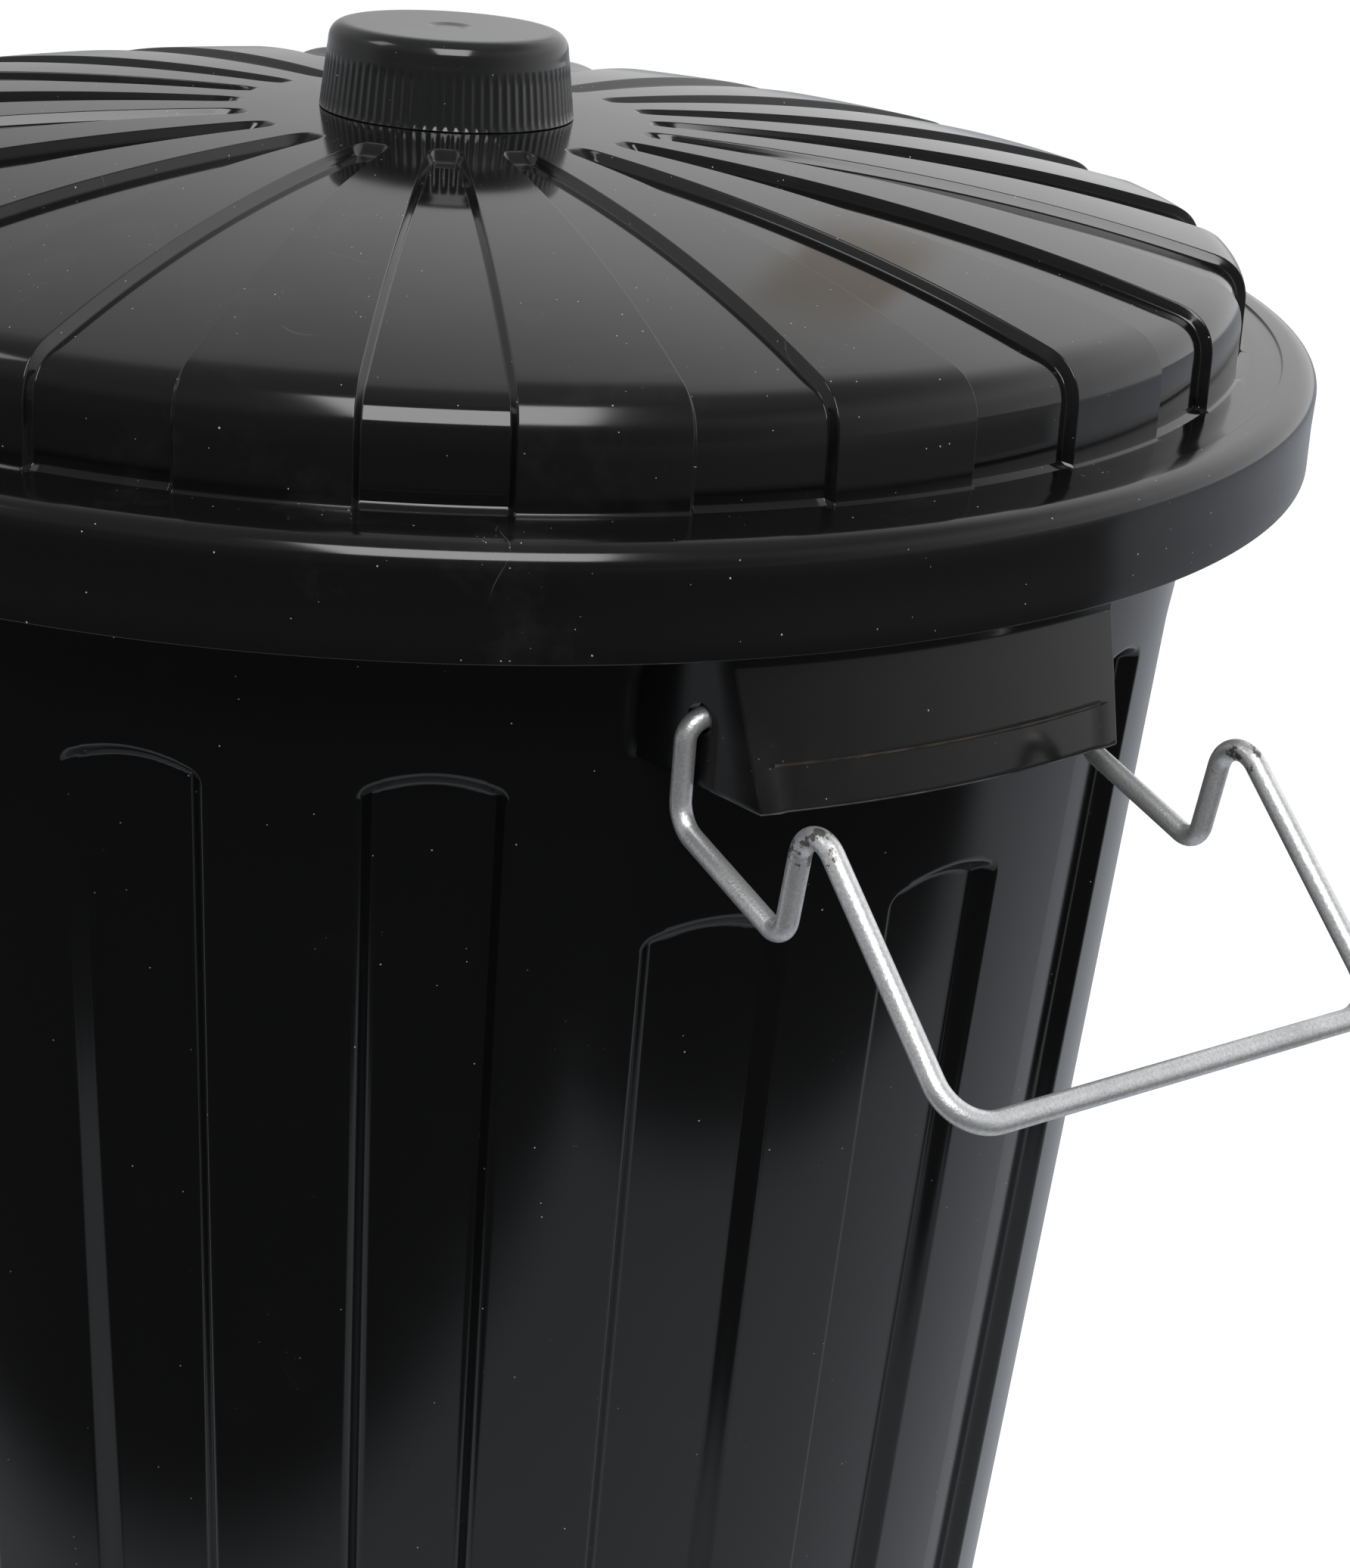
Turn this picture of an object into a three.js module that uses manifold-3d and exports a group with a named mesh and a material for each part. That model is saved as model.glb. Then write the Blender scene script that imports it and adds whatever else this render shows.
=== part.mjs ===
// A round moulded dustbin with a lift-off ribbed lid, a knob cap and two locking wire handles.
// Millimetres and degrees, +Z up. The origin is on the floor, on the bin's axis.
// The two handles stand on +X and -X.
import * as THREE from "three";
import { mergeVertices } from "three/addons/utils/BufferGeometryUtils.js";
import Module from "manifold-3d";

const wasm = await Module();
wasm.setup();

// ---- Driving dimensions ----

// Bin body
const bodyHeight = 597; // floor to the top of the rim
const bodyBaseRadius = 197; // outside, at the floor
const bodyTopRadius = 222.2; // outside, at the level of the rim's top
const bodyWall = 2.5;
const floorRise = 4; // the panel under the bin clears the ground by this much
const footWidth = 12; // flat ring that the bin stands on
const baseBevel = 5; // bevel round the foot
const rimReach = 22.3; // how far the rim stands out of the wall
const rimDepth = 18; // how far the rim's lip hangs down

// Flutes: recessed upright panels round the body
const fluteCount = 20;
const fluteDepth = 4.5;
const fluteHalfAngle = 4.43; // from a flute's middle to its edge
const fluteWallAngle = 1.2; // taken up by each sloping side wall
const fluteWideningAtBrackets = 1.05; // the flutes under the brackets are this much wider
const fluteTopDrop = 59.5; // rim's top to the crown of a flute's arch
const fluteTopDropAtBrackets = 99.5; // the same for the flutes under the brackets
const fluteArchRise = 7;
const fluteEndSlope = 4; // height of the slope at each end of a flute
const fluteBottom = 26; // floor to the lower end of the flutes

// Lid
const lidWall = 2.5;
const lidTurn = -0.6; // how far the loose lid is turned from the flutes
const skirtClearance = 3; // between the body's rim and the inside of the skirt
const skirtDepth = 25; // from the lid's flat band down to the skirt's edge
const skirtDraft = 1; // the skirt is this much narrower at its top
const beadWidth = 11; // rounded bead outside the crease line
const creaseStep = 0.5; // the bead stands this much over the flat band
const bandWidth = 11.1; // flat band between the crease and the dome
const domeSideLean = 1.1; // how far the dome's side leans in on its way up
const domeSideHeight = 23.6; // where side and cap would meet, over the flat band
const domeRounding = 10; // how far the rounding between them reaches down each
const crownHeight = 44; // middle of the lid over the flat band
const capPower = 2.8; // the cap falls with this power of the distance from the middle
const sectorTipRadius = 57.6; // where the recessed sectors end, near the knob
const sectorDepth = 2.6;
const sectorHalfAngle = 4.3;
const sectorWallAngle = 0.9;
const sectorEndSlope = 4;

// Knob cap, pressed on a hollow boss in the middle of the lid
const knobFootRadius = 35.7;
const knobShoulderRadius = 33.7; // at the top of the grip
const knobHeight = 22.7;
const knobShoulderDrop = 6.5; // from the knob's top down to the top of the grip
const knobRounding = 4.7; // reach of the rounded edge round the knob's top
const knobWall = 2.6;
const dimpleRadius = 6;
const dimpleDepth = 0.5;
const bossRadius = 24;
const bossHeight = 14;

// Handle brackets: hollow boxes under the rim, open below
const bracketBandHeight = 4; // upright band that shows under the lid's skirt
const bracketFaceHeight = 30; // leaning front face under that band
const bracketFaceLean = 10.3; // how far the front face leans out on its way down
const bracketBandProud = 0.6; // the band stands this much over the rim's lip
const bracketHalfWidth = 49.2; // at the foot of the front face
const bracketSplayAngle = 11.9; // each side wall spreads by this towards the body
const bracketWall = 2.5;
const stripHeight = 10; // shallow blank strip along the foot of the front face
const stripDepth = 0.6;
const stripMargin = 4;

// Wire handles, as they stand when the lid is free
const wireDiameter = 5;
const pivotSetback = 13.8; // pivot axis, in from the rim's edge
const pivotDrop = 18; // pivot axis, below the edge of the lid's skirt
const pivotHoleClearance = 1.1; // on the radius
const legClearance = 0.8; // between a leg and the side wall it hangs beside
const wireEndLength = 9; // wire that reaches past the inner face of a side wall
const legLength = 24.4; // pivot to knee
const shankLength = 43.2; // knee to the bottom of the hook
const shankAngle = -12; // from the level, as are the next two angles
const hookLength = 33.7;
const hookAngle = 82.5;
const armLength = 72.8; // top of the hook to the grip
const armAngle = -39;
const pivotBend = 5; // bend radii of the wire's middle line
const kneeBend = 7.5;
const valleyBend = 5;
const peakBend = 6.75;
const gripBend = 11;

const gap = 0.3; // between pieces that rest on each other

// Fineness of the faceted surfaces
const wireSides = 10;
const stepsPerBend = 4;
const capSteps = 5;
const knobSides = 48;
const bracketSides = 144;

// ---- Levels and radii that follow ----

const rimRadius = bodyTopRadius + rimReach;
const bandLevel = bodyHeight + gap + lidWall; // top of the lid's flat band
const skirtLevel = bandLevel - skirtDepth;
const lidRadius = rimRadius + skirtClearance + lidWall;
const creaseRadius = lidRadius - beadWidth;
const domeFootRadius = creaseRadius - bandWidth;
const padLevel = bandLevel + crownHeight;
const foldLevel = skirtLevel - bracketBandHeight;
const bracketLevel = foldLevel - bracketFaceHeight;
const bandRadius = rimRadius + bracketBandProud;
const bracketFootRadius = bandRadius + bracketFaceLean;
const pivotRadius = rimRadius - pivotSetback;
const pivotLevel = skirtLevel - pivotDrop;
const wireRadius = wireDiameter / 2;
const sectorStep = 360 / fluteCount;
const radians = THREE.MathUtils.degToRad;
const bracketSplay = Math.tan(radians(bracketSplayAngle));
const splayCosine = Math.cos(radians(bracketSplayAngle));

// ---- Helpers ----

// A closed geometry as a solid.
function solid(geometry) {
  geometry.deleteAttribute("normal");
  geometry.deleteAttribute("uv");
  const merged = mergeVertices(geometry, 1e-4);
  return new wasm.Manifold(
    new wasm.Mesh({
      numProp: 3,
      vertProperties: new Float32Array(merged.getAttribute("position").array),
      triVerts: new Uint32Array(merged.index.array),
    }),
  );
}

// A solid as a named mesh.
function meshOf(name, body, material) {
  const { vertProperties, triVerts } = body.getMesh();
  const geometry = new THREE.BufferGeometry();
  geometry.setAttribute("position", new THREE.BufferAttribute(vertProperties, 3));
  geometry.setIndex(new THREE.BufferAttribute(triVerts, 1));
  geometry.computeVertexNormals();
  const mesh = new THREE.Mesh(geometry, material);
  mesh.name = name;
  return mesh;
}

// A revolved form whose vertices are then placed one by one:
// place(row, column) gives each as [radius, azimuth, height].
function fluted(rows, columns, place) {
  const profile = Array.from({ length: rows }, (_, row) => new THREE.Vector2(1, row));
  const geometry = new THREE.LatheGeometry(profile, columns);
  const position = geometry.getAttribute("position");
  for (let column = 0; column <= columns; column++)
    for (let row = 0; row < rows; row++) {
      const [radius, azimuth, height] = place(row, column % columns);
      const angle = radians(azimuth);
      position.setXYZ(
        column * rows + row,
        radius * Math.cos(angle),
        radius * Math.sin(angle),
        height,
      );
    }
  return geometry;
}

// A plain revolved form about the Z axis, from [radius, height] pairs that run
// down its outside and back up its inside, or out from the axis and back to it.
function turned(pairs, sides) {
  const points = pairs.map(([radius, height]) => new THREE.Vector2(radius, height));
  return new THREE.LatheGeometry(points, sides).rotateX(Math.PI / 2);
}

// Azimuths of the columns round one flute or sector, from the middle of the land before it.
function columnsOf(halfAngle, wallAngle) {
  const floorAngle = halfAngle - wallAngle;
  return [-sectorStep / 2, -halfAngle, -floorAngle, 0, floorAngle, halfAngle];
}

// ---- Bin body ----

function wallRadius(level) {
  return THREE.MathUtils.mapLinear(level, 0, bodyHeight, bodyBaseRadius, bodyTopRadius);
}

// The fluted bucket with its rim. Its rows run from the middle of the underside
// up the outside, over the rim and down the inside.
function bucket() {
  const offsets = columnsOf(fluteHalfAngle, fluteWallAngle);
  const floorAngle = fluteHalfAngle - fluteWallAngle;
  const columns = fluteCount * offsets.length;
  const lipRadius = rimRadius - bodyWall;
  const rows = [
    () => [0, floorRise],
    () => [bodyBaseRadius - baseBevel - footWidth - floorRise, floorRise],
    () => [bodyBaseRadius - baseBevel - footWidth, 0],
    () => [bodyBaseRadius - baseBevel, 0],
    () => [wallRadius(baseBevel), baseBevel],
    (flute) => flutePoint(fluteBottom, 0, 0, flute),
    (flute) => flutePoint(fluteBottom + fluteEndSlope, 1, 0, flute),
    (flute) => flutePoint(flute.top - fluteEndSlope, 1, 0, flute),
    (flute) => flutePoint(flute.top, 0, 0, flute),
    () => [wallRadius(bodyHeight - bodyWall), bodyHeight - bodyWall],
    () => [lipRadius, bodyHeight - bodyWall],
    () => [lipRadius, bodyHeight - rimDepth],
    () => [rimRadius, bodyHeight - rimDepth],
    () => [rimRadius, bodyHeight],
    () => [wallRadius(bodyHeight) - bodyWall, bodyHeight],
    (flute) => flutePoint(flute.top, 0, bodyWall, flute),
    (flute) => flutePoint(flute.top - fluteEndSlope, 1, bodyWall, flute),
    (flute) => flutePoint(fluteBottom + fluteEndSlope, 1, bodyWall, flute),
    (flute) => flutePoint(fluteBottom, 0, bodyWall, flute),
    () => [wallRadius(baseBevel) - bodyWall, floorRise + bodyWall + baseBevel],
    () => [bodyBaseRadius - bodyWall - baseBevel, floorRise + bodyWall],
    () => [0, floorRise + bodyWall],
  ];
  function flutePoint(level, sunk, inset, flute) {
    return [wallRadius(level) - inset - sunk * flute.depth, level];
  }
  function place(row, column) {
    const number = Math.floor(column / offsets.length);
    const offset = offsets[column % offsets.length];
    const middle = sectorStep * (number + 0.5);
    const underBracket =
      Math.abs(Math.sin(radians(middle))) < Math.sin(radians(sectorStep));
    const drop = underBracket ? fluteTopDropAtBrackets : fluteTopDrop;
    const onFlute = Math.abs(offset) <= fluteHalfAngle;
    const widening = underBracket && onFlute ? fluteWideningAtBrackets : 1;
    const across = Math.min(Math.abs(offset) / fluteHalfAngle, 1);
    const flute = {
      top: bodyHeight - drop - fluteArchRise * across ** 2,
      depth: Math.abs(offset) <= floorAngle ? fluteDepth : 0,
    };
    const [radius, height] = rows[row](flute);
    return [radius, middle + offset * widening, height];
  }
  return solid(fluted(rows.length, columns, place));
}

// Half the width of a bracket, at a distance from the bin's axis.
function bracketHalfWidthAt(radius) {
  return bracketHalfWidth + bracketSplay * (bracketFootRadius - radius);
}

// Plan of a bracket as an upright prism, drawn in by an inset on its two sides.
function bracketPrism(inset, low, high) {
  const near = bodyBaseRadius / 2;
  const far = bracketFootRadius + bracketFaceLean;
  const narrowed = inset / splayCosine;
  const plan = new THREE.Shape();
  plan.moveTo(near, -bracketHalfWidthAt(near) + narrowed);
  plan.lineTo(far, -bracketHalfWidthAt(far) + narrowed);
  plan.lineTo(far, bracketHalfWidthAt(far) - narrowed);
  plan.lineTo(near, bracketHalfWidthAt(near) - narrowed);
  const options = { depth: high - low, bevelEnabled: false };
  return solid(new THREE.ExtrudeGeometry(plan, options).translate(0, 0, low));
}

// Everything inside the bracket's front surface, drawn in by an inset.
function behindBracketFront(inset) {
  const lean = bracketFaceLean / bracketFaceHeight;
  const below = bracketLevel - bracketFaceHeight;
  const front = bracketFootRadius + lean * bracketFaceHeight;
  const profile = [
    [0, below],
    [front - inset, below],
    [bandRadius - inset, foldLevel],
    [bandRadius - inset, bodyHeight],
    [0, bodyHeight],
  ];
  return solid(turned(profile, bracketSides));
}

// The body's wall thickness halved: brackets start inside the wall and end there.
function insideWall() {
  const profile = [
    [0, 0],
    [wallRadius(0) - bodyWall / 2, 0],
    [wallRadius(bodyHeight) - bodyWall / 2, bodyHeight],
    [0, bodyHeight],
  ];
  return solid(turned(profile, bracketSides));
}

// One hollow bracket at +X, with its blank strip.
function bracket() {
  const top = bodyHeight - bodyWall / 2;
  const roof = bodyHeight - 2 * bodyWall;
  const shell = bracketPrism(0, bracketLevel, top).intersect(behindBracketFront(0));
  const hollow = bracketPrism(bracketWall, bracketLevel - bodyWall, roof).intersect(
    behindBracketFront(bracketWall),
  );
  const strip = bracketPrism(
    stripMargin,
    bracketLevel - bodyWall,
    bracketLevel + stripHeight,
  ).subtract(behindBracketFront(stripDepth));
  return shell.subtract(hollow).subtract(strip).subtract(insideWall());
}

// The hole through both side walls of the bracket at +X.
function pivotHole() {
  const length = 4 * bracketHalfWidth;
  const radius = wireRadius + pivotHoleClearance;
  const bore = new THREE.CylinderGeometry(radius, radius, length, 2 * wireSides);
  return solid(bore.translate(pivotRadius, 0, pivotLevel));
}

// The same solid on the other side of the bin.
function opposite(body) {
  return body.rotate([0, 0, 180]);
}

function binBody() {
  const one = bracket();
  const hole = pivotHole();
  return bucket().add(one).add(opposite(one)).subtract(hole).subtract(opposite(hole));
}

// ---- Lid ----

// Height of the dome's cap at a distance from the lid's middle.
function capLevel(radius) {
  const fall = (radius / (domeFootRadius - domeSideLean)) ** capPower;
  return padLevel - (crownHeight - domeSideHeight) * fall;
}

// Points down the outside of the dome, from the inner tips of the sectors to its foot
// on the flat band, each with its outward normal.
function domePoints() {
  const corner = new THREE.Vector2(
    domeFootRadius - domeSideLean,
    bandLevel + domeSideHeight,
  );
  const foot = new THREE.Vector2(domeFootRadius, bandLevel);
  const capStart = sectorTipRadius + sectorEndSlope;
  const capEnd = corner.x - domeRounding;
  const capRadii = Array.from({ length: capSteps + 1 }, (_, step) =>
    THREE.MathUtils.lerp(capStart, capEnd, step / capSteps),
  );
  const cap = [sectorTipRadius, ...capRadii].map(
    (radius) => new THREE.Vector2(radius, capLevel(radius)),
  );
  const sideTop = corner.clone().lerp(foot, domeRounding / domeSideHeight);
  const rounding = new THREE.QuadraticBezierCurve(cap.at(-1), corner, sideTop);
  const points = [...cap, rounding.getPoint(0.5), sideTop, foot];
  return points.map((point, index) => {
    const before = points[Math.max(index - 1, 0)];
    const after = points[Math.min(index + 1, points.length - 1)];
    const tangent = after.clone().sub(before).normalize();
    return { point, normal: new THREE.Vector2(-tangent.y, tangent.x) };
  });
}

// The lid's shell. Its rows run from the top of the boss out over the dome and the bead,
// round the skirt's edge and back along the inside.
function lidShell() {
  const offsets = columnsOf(sectorHalfAngle, sectorWallAngle);
  const floorAngle = sectorHalfAngle - sectorWallAngle;
  const columns = fluteCount * offsets.length;
  const bossLevel = padLevel + bossHeight;
  const skirtTop = lidRadius - skirtDraft;
  const dome = domePoints();
  const domeRow = (step, inset) => (sunk) => {
    const { point, normal } = dome[step];
    const depth = inset + (step > 0 ? sunk : 0);
    return [point.x - normal.x * depth, point.y - normal.y * depth];
  };
  const fixed = (radius, height) => () => [radius, height];
  const outside = [
    fixed(0, bossLevel),
    fixed(bossRadius, bossLevel),
    fixed(bossRadius, padLevel),
    ...dome.map((_, step) => domeRow(step, 0)),
    fixed(creaseRadius, bandLevel),
    fixed(creaseRadius + creaseStep, bandLevel + creaseStep),
    fixed(lidRadius - 0.36 * beadWidth, bandLevel + creaseStep - 0.09 * beadWidth),
    fixed(skirtTop - 0.06 * beadWidth, bandLevel - 0.4 * beadWidth),
    fixed(lidRadius, skirtLevel),
  ];
  const inside = [
    fixed(lidRadius - lidWall, skirtLevel),
    fixed(skirtTop - lidWall, bandLevel - 0.5 * beadWidth),
    fixed(lidRadius - 0.36 * beadWidth - lidWall / 2, bandLevel - lidWall),
    ...dome
      .map((_, step) => (step === dome.length - 1 ? underBand : domeRow(step, lidWall)))
      .reverse(),
    fixed(bossRadius - lidWall, padLevel - lidWall),
    fixed(bossRadius - lidWall, bossLevel - lidWall),
    fixed(0, bossLevel - lidWall),
  ];
  function underBand(sunk) {
    return [domeFootRadius - lidWall - sunk, bandLevel - lidWall];
  }
  const rows = [...outside, ...inside].reverse();
  function place(row, column) {
    const number = Math.floor(column / offsets.length);
    const offset = offsets[column % offsets.length];
    const sunk = Math.abs(offset) <= floorAngle ? sectorDepth : 0;
    const [radius, height] = rows[row](sunk);
    return [radius, sectorStep * (number + 0.5) + offset + lidTurn, height];
  }
  return solid(fluted(rows.length, columns, place));
}

// ---- Knob cap ----

function knobCap() {
  const foot = padLevel + gap;
  const top = foot + knobHeight;
  const shoulder = top - knobShoulderDrop;
  const ringInner = bossRadius + gap;
  const ringOuter = ringInner + knobWall;
  const ringFoot = padLevel + bossHeight / 2;
  const ceiling = top - knobWall;
  const taper = (knobFootRadius - knobShoulderRadius) / (shoulder - foot);
  const edge = knobShoulderRadius - taper * knobShoulderDrop;
  const profile = [
    [0, top - dimpleDepth],
    [dimpleRadius / 2, top - dimpleDepth],
    [dimpleRadius, top],
    [edge - knobRounding, top],
    [edge - 0.29 * knobRounding, top - 0.29 * knobRounding],
    [edge + taper * knobRounding, top - knobRounding],
    [knobShoulderRadius, shoulder],
    [knobFootRadius, foot],
    [knobFootRadius - knobWall, foot],
    [knobShoulderRadius - knobWall, ceiling],
    [ringOuter, ceiling],
    [ringOuter, ringFoot],
    [ringInner, ringFoot],
    [ringInner, ceiling],
    [0, ceiling],
  ];
  return solid(turned(profile.reverse(), knobSides));
}

// ---- Wire handles ----

// A bent wire's middle line. Its stations are spaced by number and not by length,
// so that the bends keep their short steps.
class BentWire extends THREE.Curve {
  constructor(stations) {
    super();
    this.stations = stations;
  }
  getUtoTmapping(fraction) {
    return fraction;
  }
  getPoint(fraction, target = new THREE.Vector3()) {
    const place = THREE.MathUtils.clamp(fraction, 0, 1) * (this.stations.length - 1);
    const before = Math.min(Math.floor(place), this.stations.length - 2);
    return target.lerpVectors(this.stations[before], this.stations[before + 1], place - before);
  }
}

// Stations along straight runs between corners, each corner rounded to its bend radius.
function rounded(corners) {
  const stations = [corners[0].at];
  for (let i = 1; i < corners.length - 1; i++) {
    const { at, bend } = corners[i];
    const back = corners[i - 1].at.clone().sub(at).normalize();
    const ahead = corners[i + 1].at.clone().sub(at).normalize();
    const halfAngle = back.angleTo(ahead) / 2;
    const middle = back.clone().add(ahead).normalize();
    const centre = at.clone().addScaledVector(middle, bend / Math.sin(halfAngle));
    const start = at.clone().addScaledVector(back, bend / Math.tan(halfAngle));
    const axis = new THREE.Vector3().crossVectors(back, ahead).normalize();
    const turn = Math.PI - 2 * halfAngle;
    for (let step = 0; step <= stepsPerBend; step++) {
      const spoke = start.clone().sub(centre);
      spoke.applyAxisAngle(axis, (-turn * step) / stepsPerBend);
      stations.push(centre.clone().add(spoke));
    }
  }
  stations.push(corners.at(-1).at);
  return stations;
}

// The handle at +X: from an end inside the bracket out through the side wall, down the leg,
// out along the shank, up the hook, down the arm, across the grip and back the same way.
function wireHandle() {
  const wallAtPivot = bracketHalfWidthAt(pivotRadius);
  const legPlane = wallAtPivot + (wireRadius + legClearance) / splayCosine;
  const endPlane = wallAtPivot - bracketWall / splayCosine - wireEndLength;
  const knee = new THREE.Vector2(pivotRadius, pivotLevel - legLength);
  const valley = stepFrom(knee, shankLength, shankAngle);
  const peak = stepFrom(valley, hookLength, hookAngle);
  const grip = stepFrom(peak, armLength, armAngle);
  const pivot = new THREE.Vector2(pivotRadius, pivotLevel);
  const side = (sign) => [
    { at: lift(pivot, sign * endPlane), bend: 0 },
    { at: lift(pivot, sign * legPlane), bend: pivotBend },
    { at: lift(knee, sign * legPlane), bend: kneeBend },
    { at: lift(valley, sign * legPlane), bend: valleyBend },
    { at: lift(peak, sign * legPlane), bend: peakBend },
    { at: lift(grip, sign * legPlane), bend: gripBend },
  ];
  const stations = rounded([...side(-1), ...side(1).reverse()]);
  const section = new THREE.Shape();
  section.absarc(0, 0, wireRadius, 0, 2 * Math.PI, false);
  const wire = new THREE.ExtrudeGeometry(section, {
    steps: stations.length - 1,
    curveSegments: wireSides / 2,
    extrudePath: new BentWire(stations),
  });
  return solid(wire);
}

function stepFrom(point, length, slope) {
  const angle = radians(slope);
  return new THREE.Vector2(
    point.x + length * Math.cos(angle),
    point.y + length * Math.sin(angle),
  );
}

// A point of the handle's side view, set at a distance across the bin.
function lift(point, across) {
  return new THREE.Vector3(point.x, across, point.y);
}

// ---- Assembly ----

const blackPlastic = new THREE.MeshStandardMaterial({
  color: 0x0e0f11,
  roughness: 0.25,
  metalness: 0,
});
const zincWire = new THREE.MeshStandardMaterial({
  color: 0xb4b6b8,
  roughness: 0.35,
  metalness: 1,
});

const group = new THREE.Group();
const handle = wireHandle();
group.add(
  meshOf("bin_body", binBody(), blackPlastic),
  meshOf("lid", lidShell(), blackPlastic.clone()),
  meshOf("lid_knob", knobCap(), blackPlastic.clone()),
  meshOf("handle_right", handle, zincWire),
  meshOf("handle_left", opposite(handle), zincWire.clone()),
);

export default group;
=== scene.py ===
"""Looks of a black moulded dustbin with a ribbed lid, a knob cap and two locking wire handles."""
import math

import bmesh
import bpy
import numpy as np
from mathutils import Matrix, Vector


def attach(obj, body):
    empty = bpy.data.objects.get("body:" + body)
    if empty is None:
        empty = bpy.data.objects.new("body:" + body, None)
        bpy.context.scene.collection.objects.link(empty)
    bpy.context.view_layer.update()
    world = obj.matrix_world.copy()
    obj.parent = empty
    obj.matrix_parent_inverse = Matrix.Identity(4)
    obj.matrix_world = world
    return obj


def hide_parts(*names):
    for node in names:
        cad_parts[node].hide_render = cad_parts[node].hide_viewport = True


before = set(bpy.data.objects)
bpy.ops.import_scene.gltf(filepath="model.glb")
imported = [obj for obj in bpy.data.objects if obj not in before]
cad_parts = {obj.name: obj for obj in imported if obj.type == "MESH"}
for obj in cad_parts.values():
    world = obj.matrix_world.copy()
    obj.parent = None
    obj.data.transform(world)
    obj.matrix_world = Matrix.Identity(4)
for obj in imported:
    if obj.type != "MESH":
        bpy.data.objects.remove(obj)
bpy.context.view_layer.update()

MM = 0.001

# ---- Sizes of the part, in millimetres, as its solids have them ----

BODY_HEIGHT = 597.0
BODY_BASE_RADIUS = 197.0
BODY_TOP_RADIUS = 222.2
BODY_WALL = 2.5
BODY_BULGE = 0.8
FLOOR_RISE = 4.0
FOOT_WIDTH = 12.0
FOOT_SLOPE = 4.0
BASE_BEVEL = 5.0
RIM_REACH = 22.3
RIM_DEPTH = 18.0

SECTORS = 20
FLUTE_DEPTH = 4.5
FLUTE_HALF_ANGLE = 4.64
FLUTE_WALL_ANGLE = 1.35
FLUTE_WIDENING = 1.12
FLUTE_TOP_DROP = 59.5
FLUTE_TOP_DROP_AT_BRACKETS = 99.5
FLUTE_ARCH_RISE = 5.0
FLUTE_CORNER = 3.5
FLUTE_BOTTOM = 26.0

LID_WALL = 2.5
LID_TURN = -0.6
SKIRT_CLEARANCE = 3.0
SKIRT_DEPTH = 25.0
SKIRT_DRAFT = 1.0
BEAD_WIDTH = 11.0
CREASE_STEP = 0.5
BAND_WIDTH = 11.1
DOME_LEAN = 1.1
DOME_SIDE_HEIGHT = 23.6
DOME_ROUNDING = 10.0
CROWN_HEIGHT = 44.0
CAP_POWER = 2.8
SECTOR_TIP_RADIUS = 57.6
SECTOR_DEPTH = 2.6
SECTOR_HALF_ANGLE = 4.3
SECTOR_WALL = 1.6
SECTOR_CORNER = 2.4
SECTOR_SCOOP = 5.2
STEP_FILLET = 0.22

KNOB_FOOT_RADIUS = 35.7
KNOB_SHOULDER_RADIUS = 33.7
KNOB_HEIGHT = 22.7
KNOB_SHOULDER_DROP = 6.5
KNOB_ROUNDING = 4.7
KNOB_WALL = 2.6
KNOB_RIBS = 84
KNOB_RIB_DEPTH = 0.36
KNOB_RIB_SHARPNESS = 1.3
KNOB_RIB_TOP_FADE = 1.6
KNOB_RIB_FOOT_FADE = 0.4
KNOB_SEAT = 0.05
DIMPLE_RADIUS = 6.0
DIMPLE_DEPTH = 0.5
BOSS_RADIUS = 24.0
BOSS_HEIGHT = 14.0
BOSS_ROUNDING = 1.2

BRACKET_BAND = 4.0
BRACKET_FACE = 30.0
BRACKET_LEAN = 10.3
BRACKET_PROUD = 0.6
BRACKET_HALF_WIDTH = 49.2
BRACKET_SPLAY = math.tan(math.radians(11.9))
BRACKET_WALL = 2.5
BRACKET_ROOT = 28.0
BRACKET_BEND, BRACKET_INNER_BEND = 0.5, 0.3
FOLD_BEND = 0.4
STRIP_HEIGHT = 10.0
STRIP_DEPTH = 0.6
STRIP_MARGIN = 4.0
STRIP_EDGE = 0.35
STRIP_END = 0.6

WIRE_RADIUS = 2.49
PIVOT_SETBACK = 13.8
PIVOT_DROP = 18.0
PIVOT_HOLE_CLEARANCE = 1.1
LEG_CLEARANCE = 0.8
WIRE_END = 9.0
WIRE_END_CROWN = 0.3
LEG = 24.4
SHANK, SHANK_SLOPE = 43.2, -12.0
HOOK, HOOK_SLOPE = 33.7, 82.5
ARM, ARM_SLOPE = 72.8, -39.0
PIVOT_BEND, KNEE_BEND, VALLEY_BEND, PEAK_BEND, GRIP_BEND = 5.0, 7.5, 5.0, 6.75, 11.0
GAP = 0.3

# ---- Fineness of the meshes ----

CAMBER_STEPS = 13
KNOB_RIB_STEPS = 8
BRACKET_SIDE_STEPS, BRACKET_FRONT_STEPS = 16, 55
HOLE_SIDES, HOLE_LENGTH = 40, 200.0
WIRE_SIDES, WIRE_BEND_STEPS, WIRE_SPACING = 28, 16, 2.0
BRACKET_SHARP_ANGLE, WIRE_SHARP_ANGLE = 28.0, 50.0
MERGE_DISTANCE = 1e-7
BOSS_SPREAD, LEAST_SPREAD = 60.0, 30.0

# ---- Radii and levels that follow from the sizes ----

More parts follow.
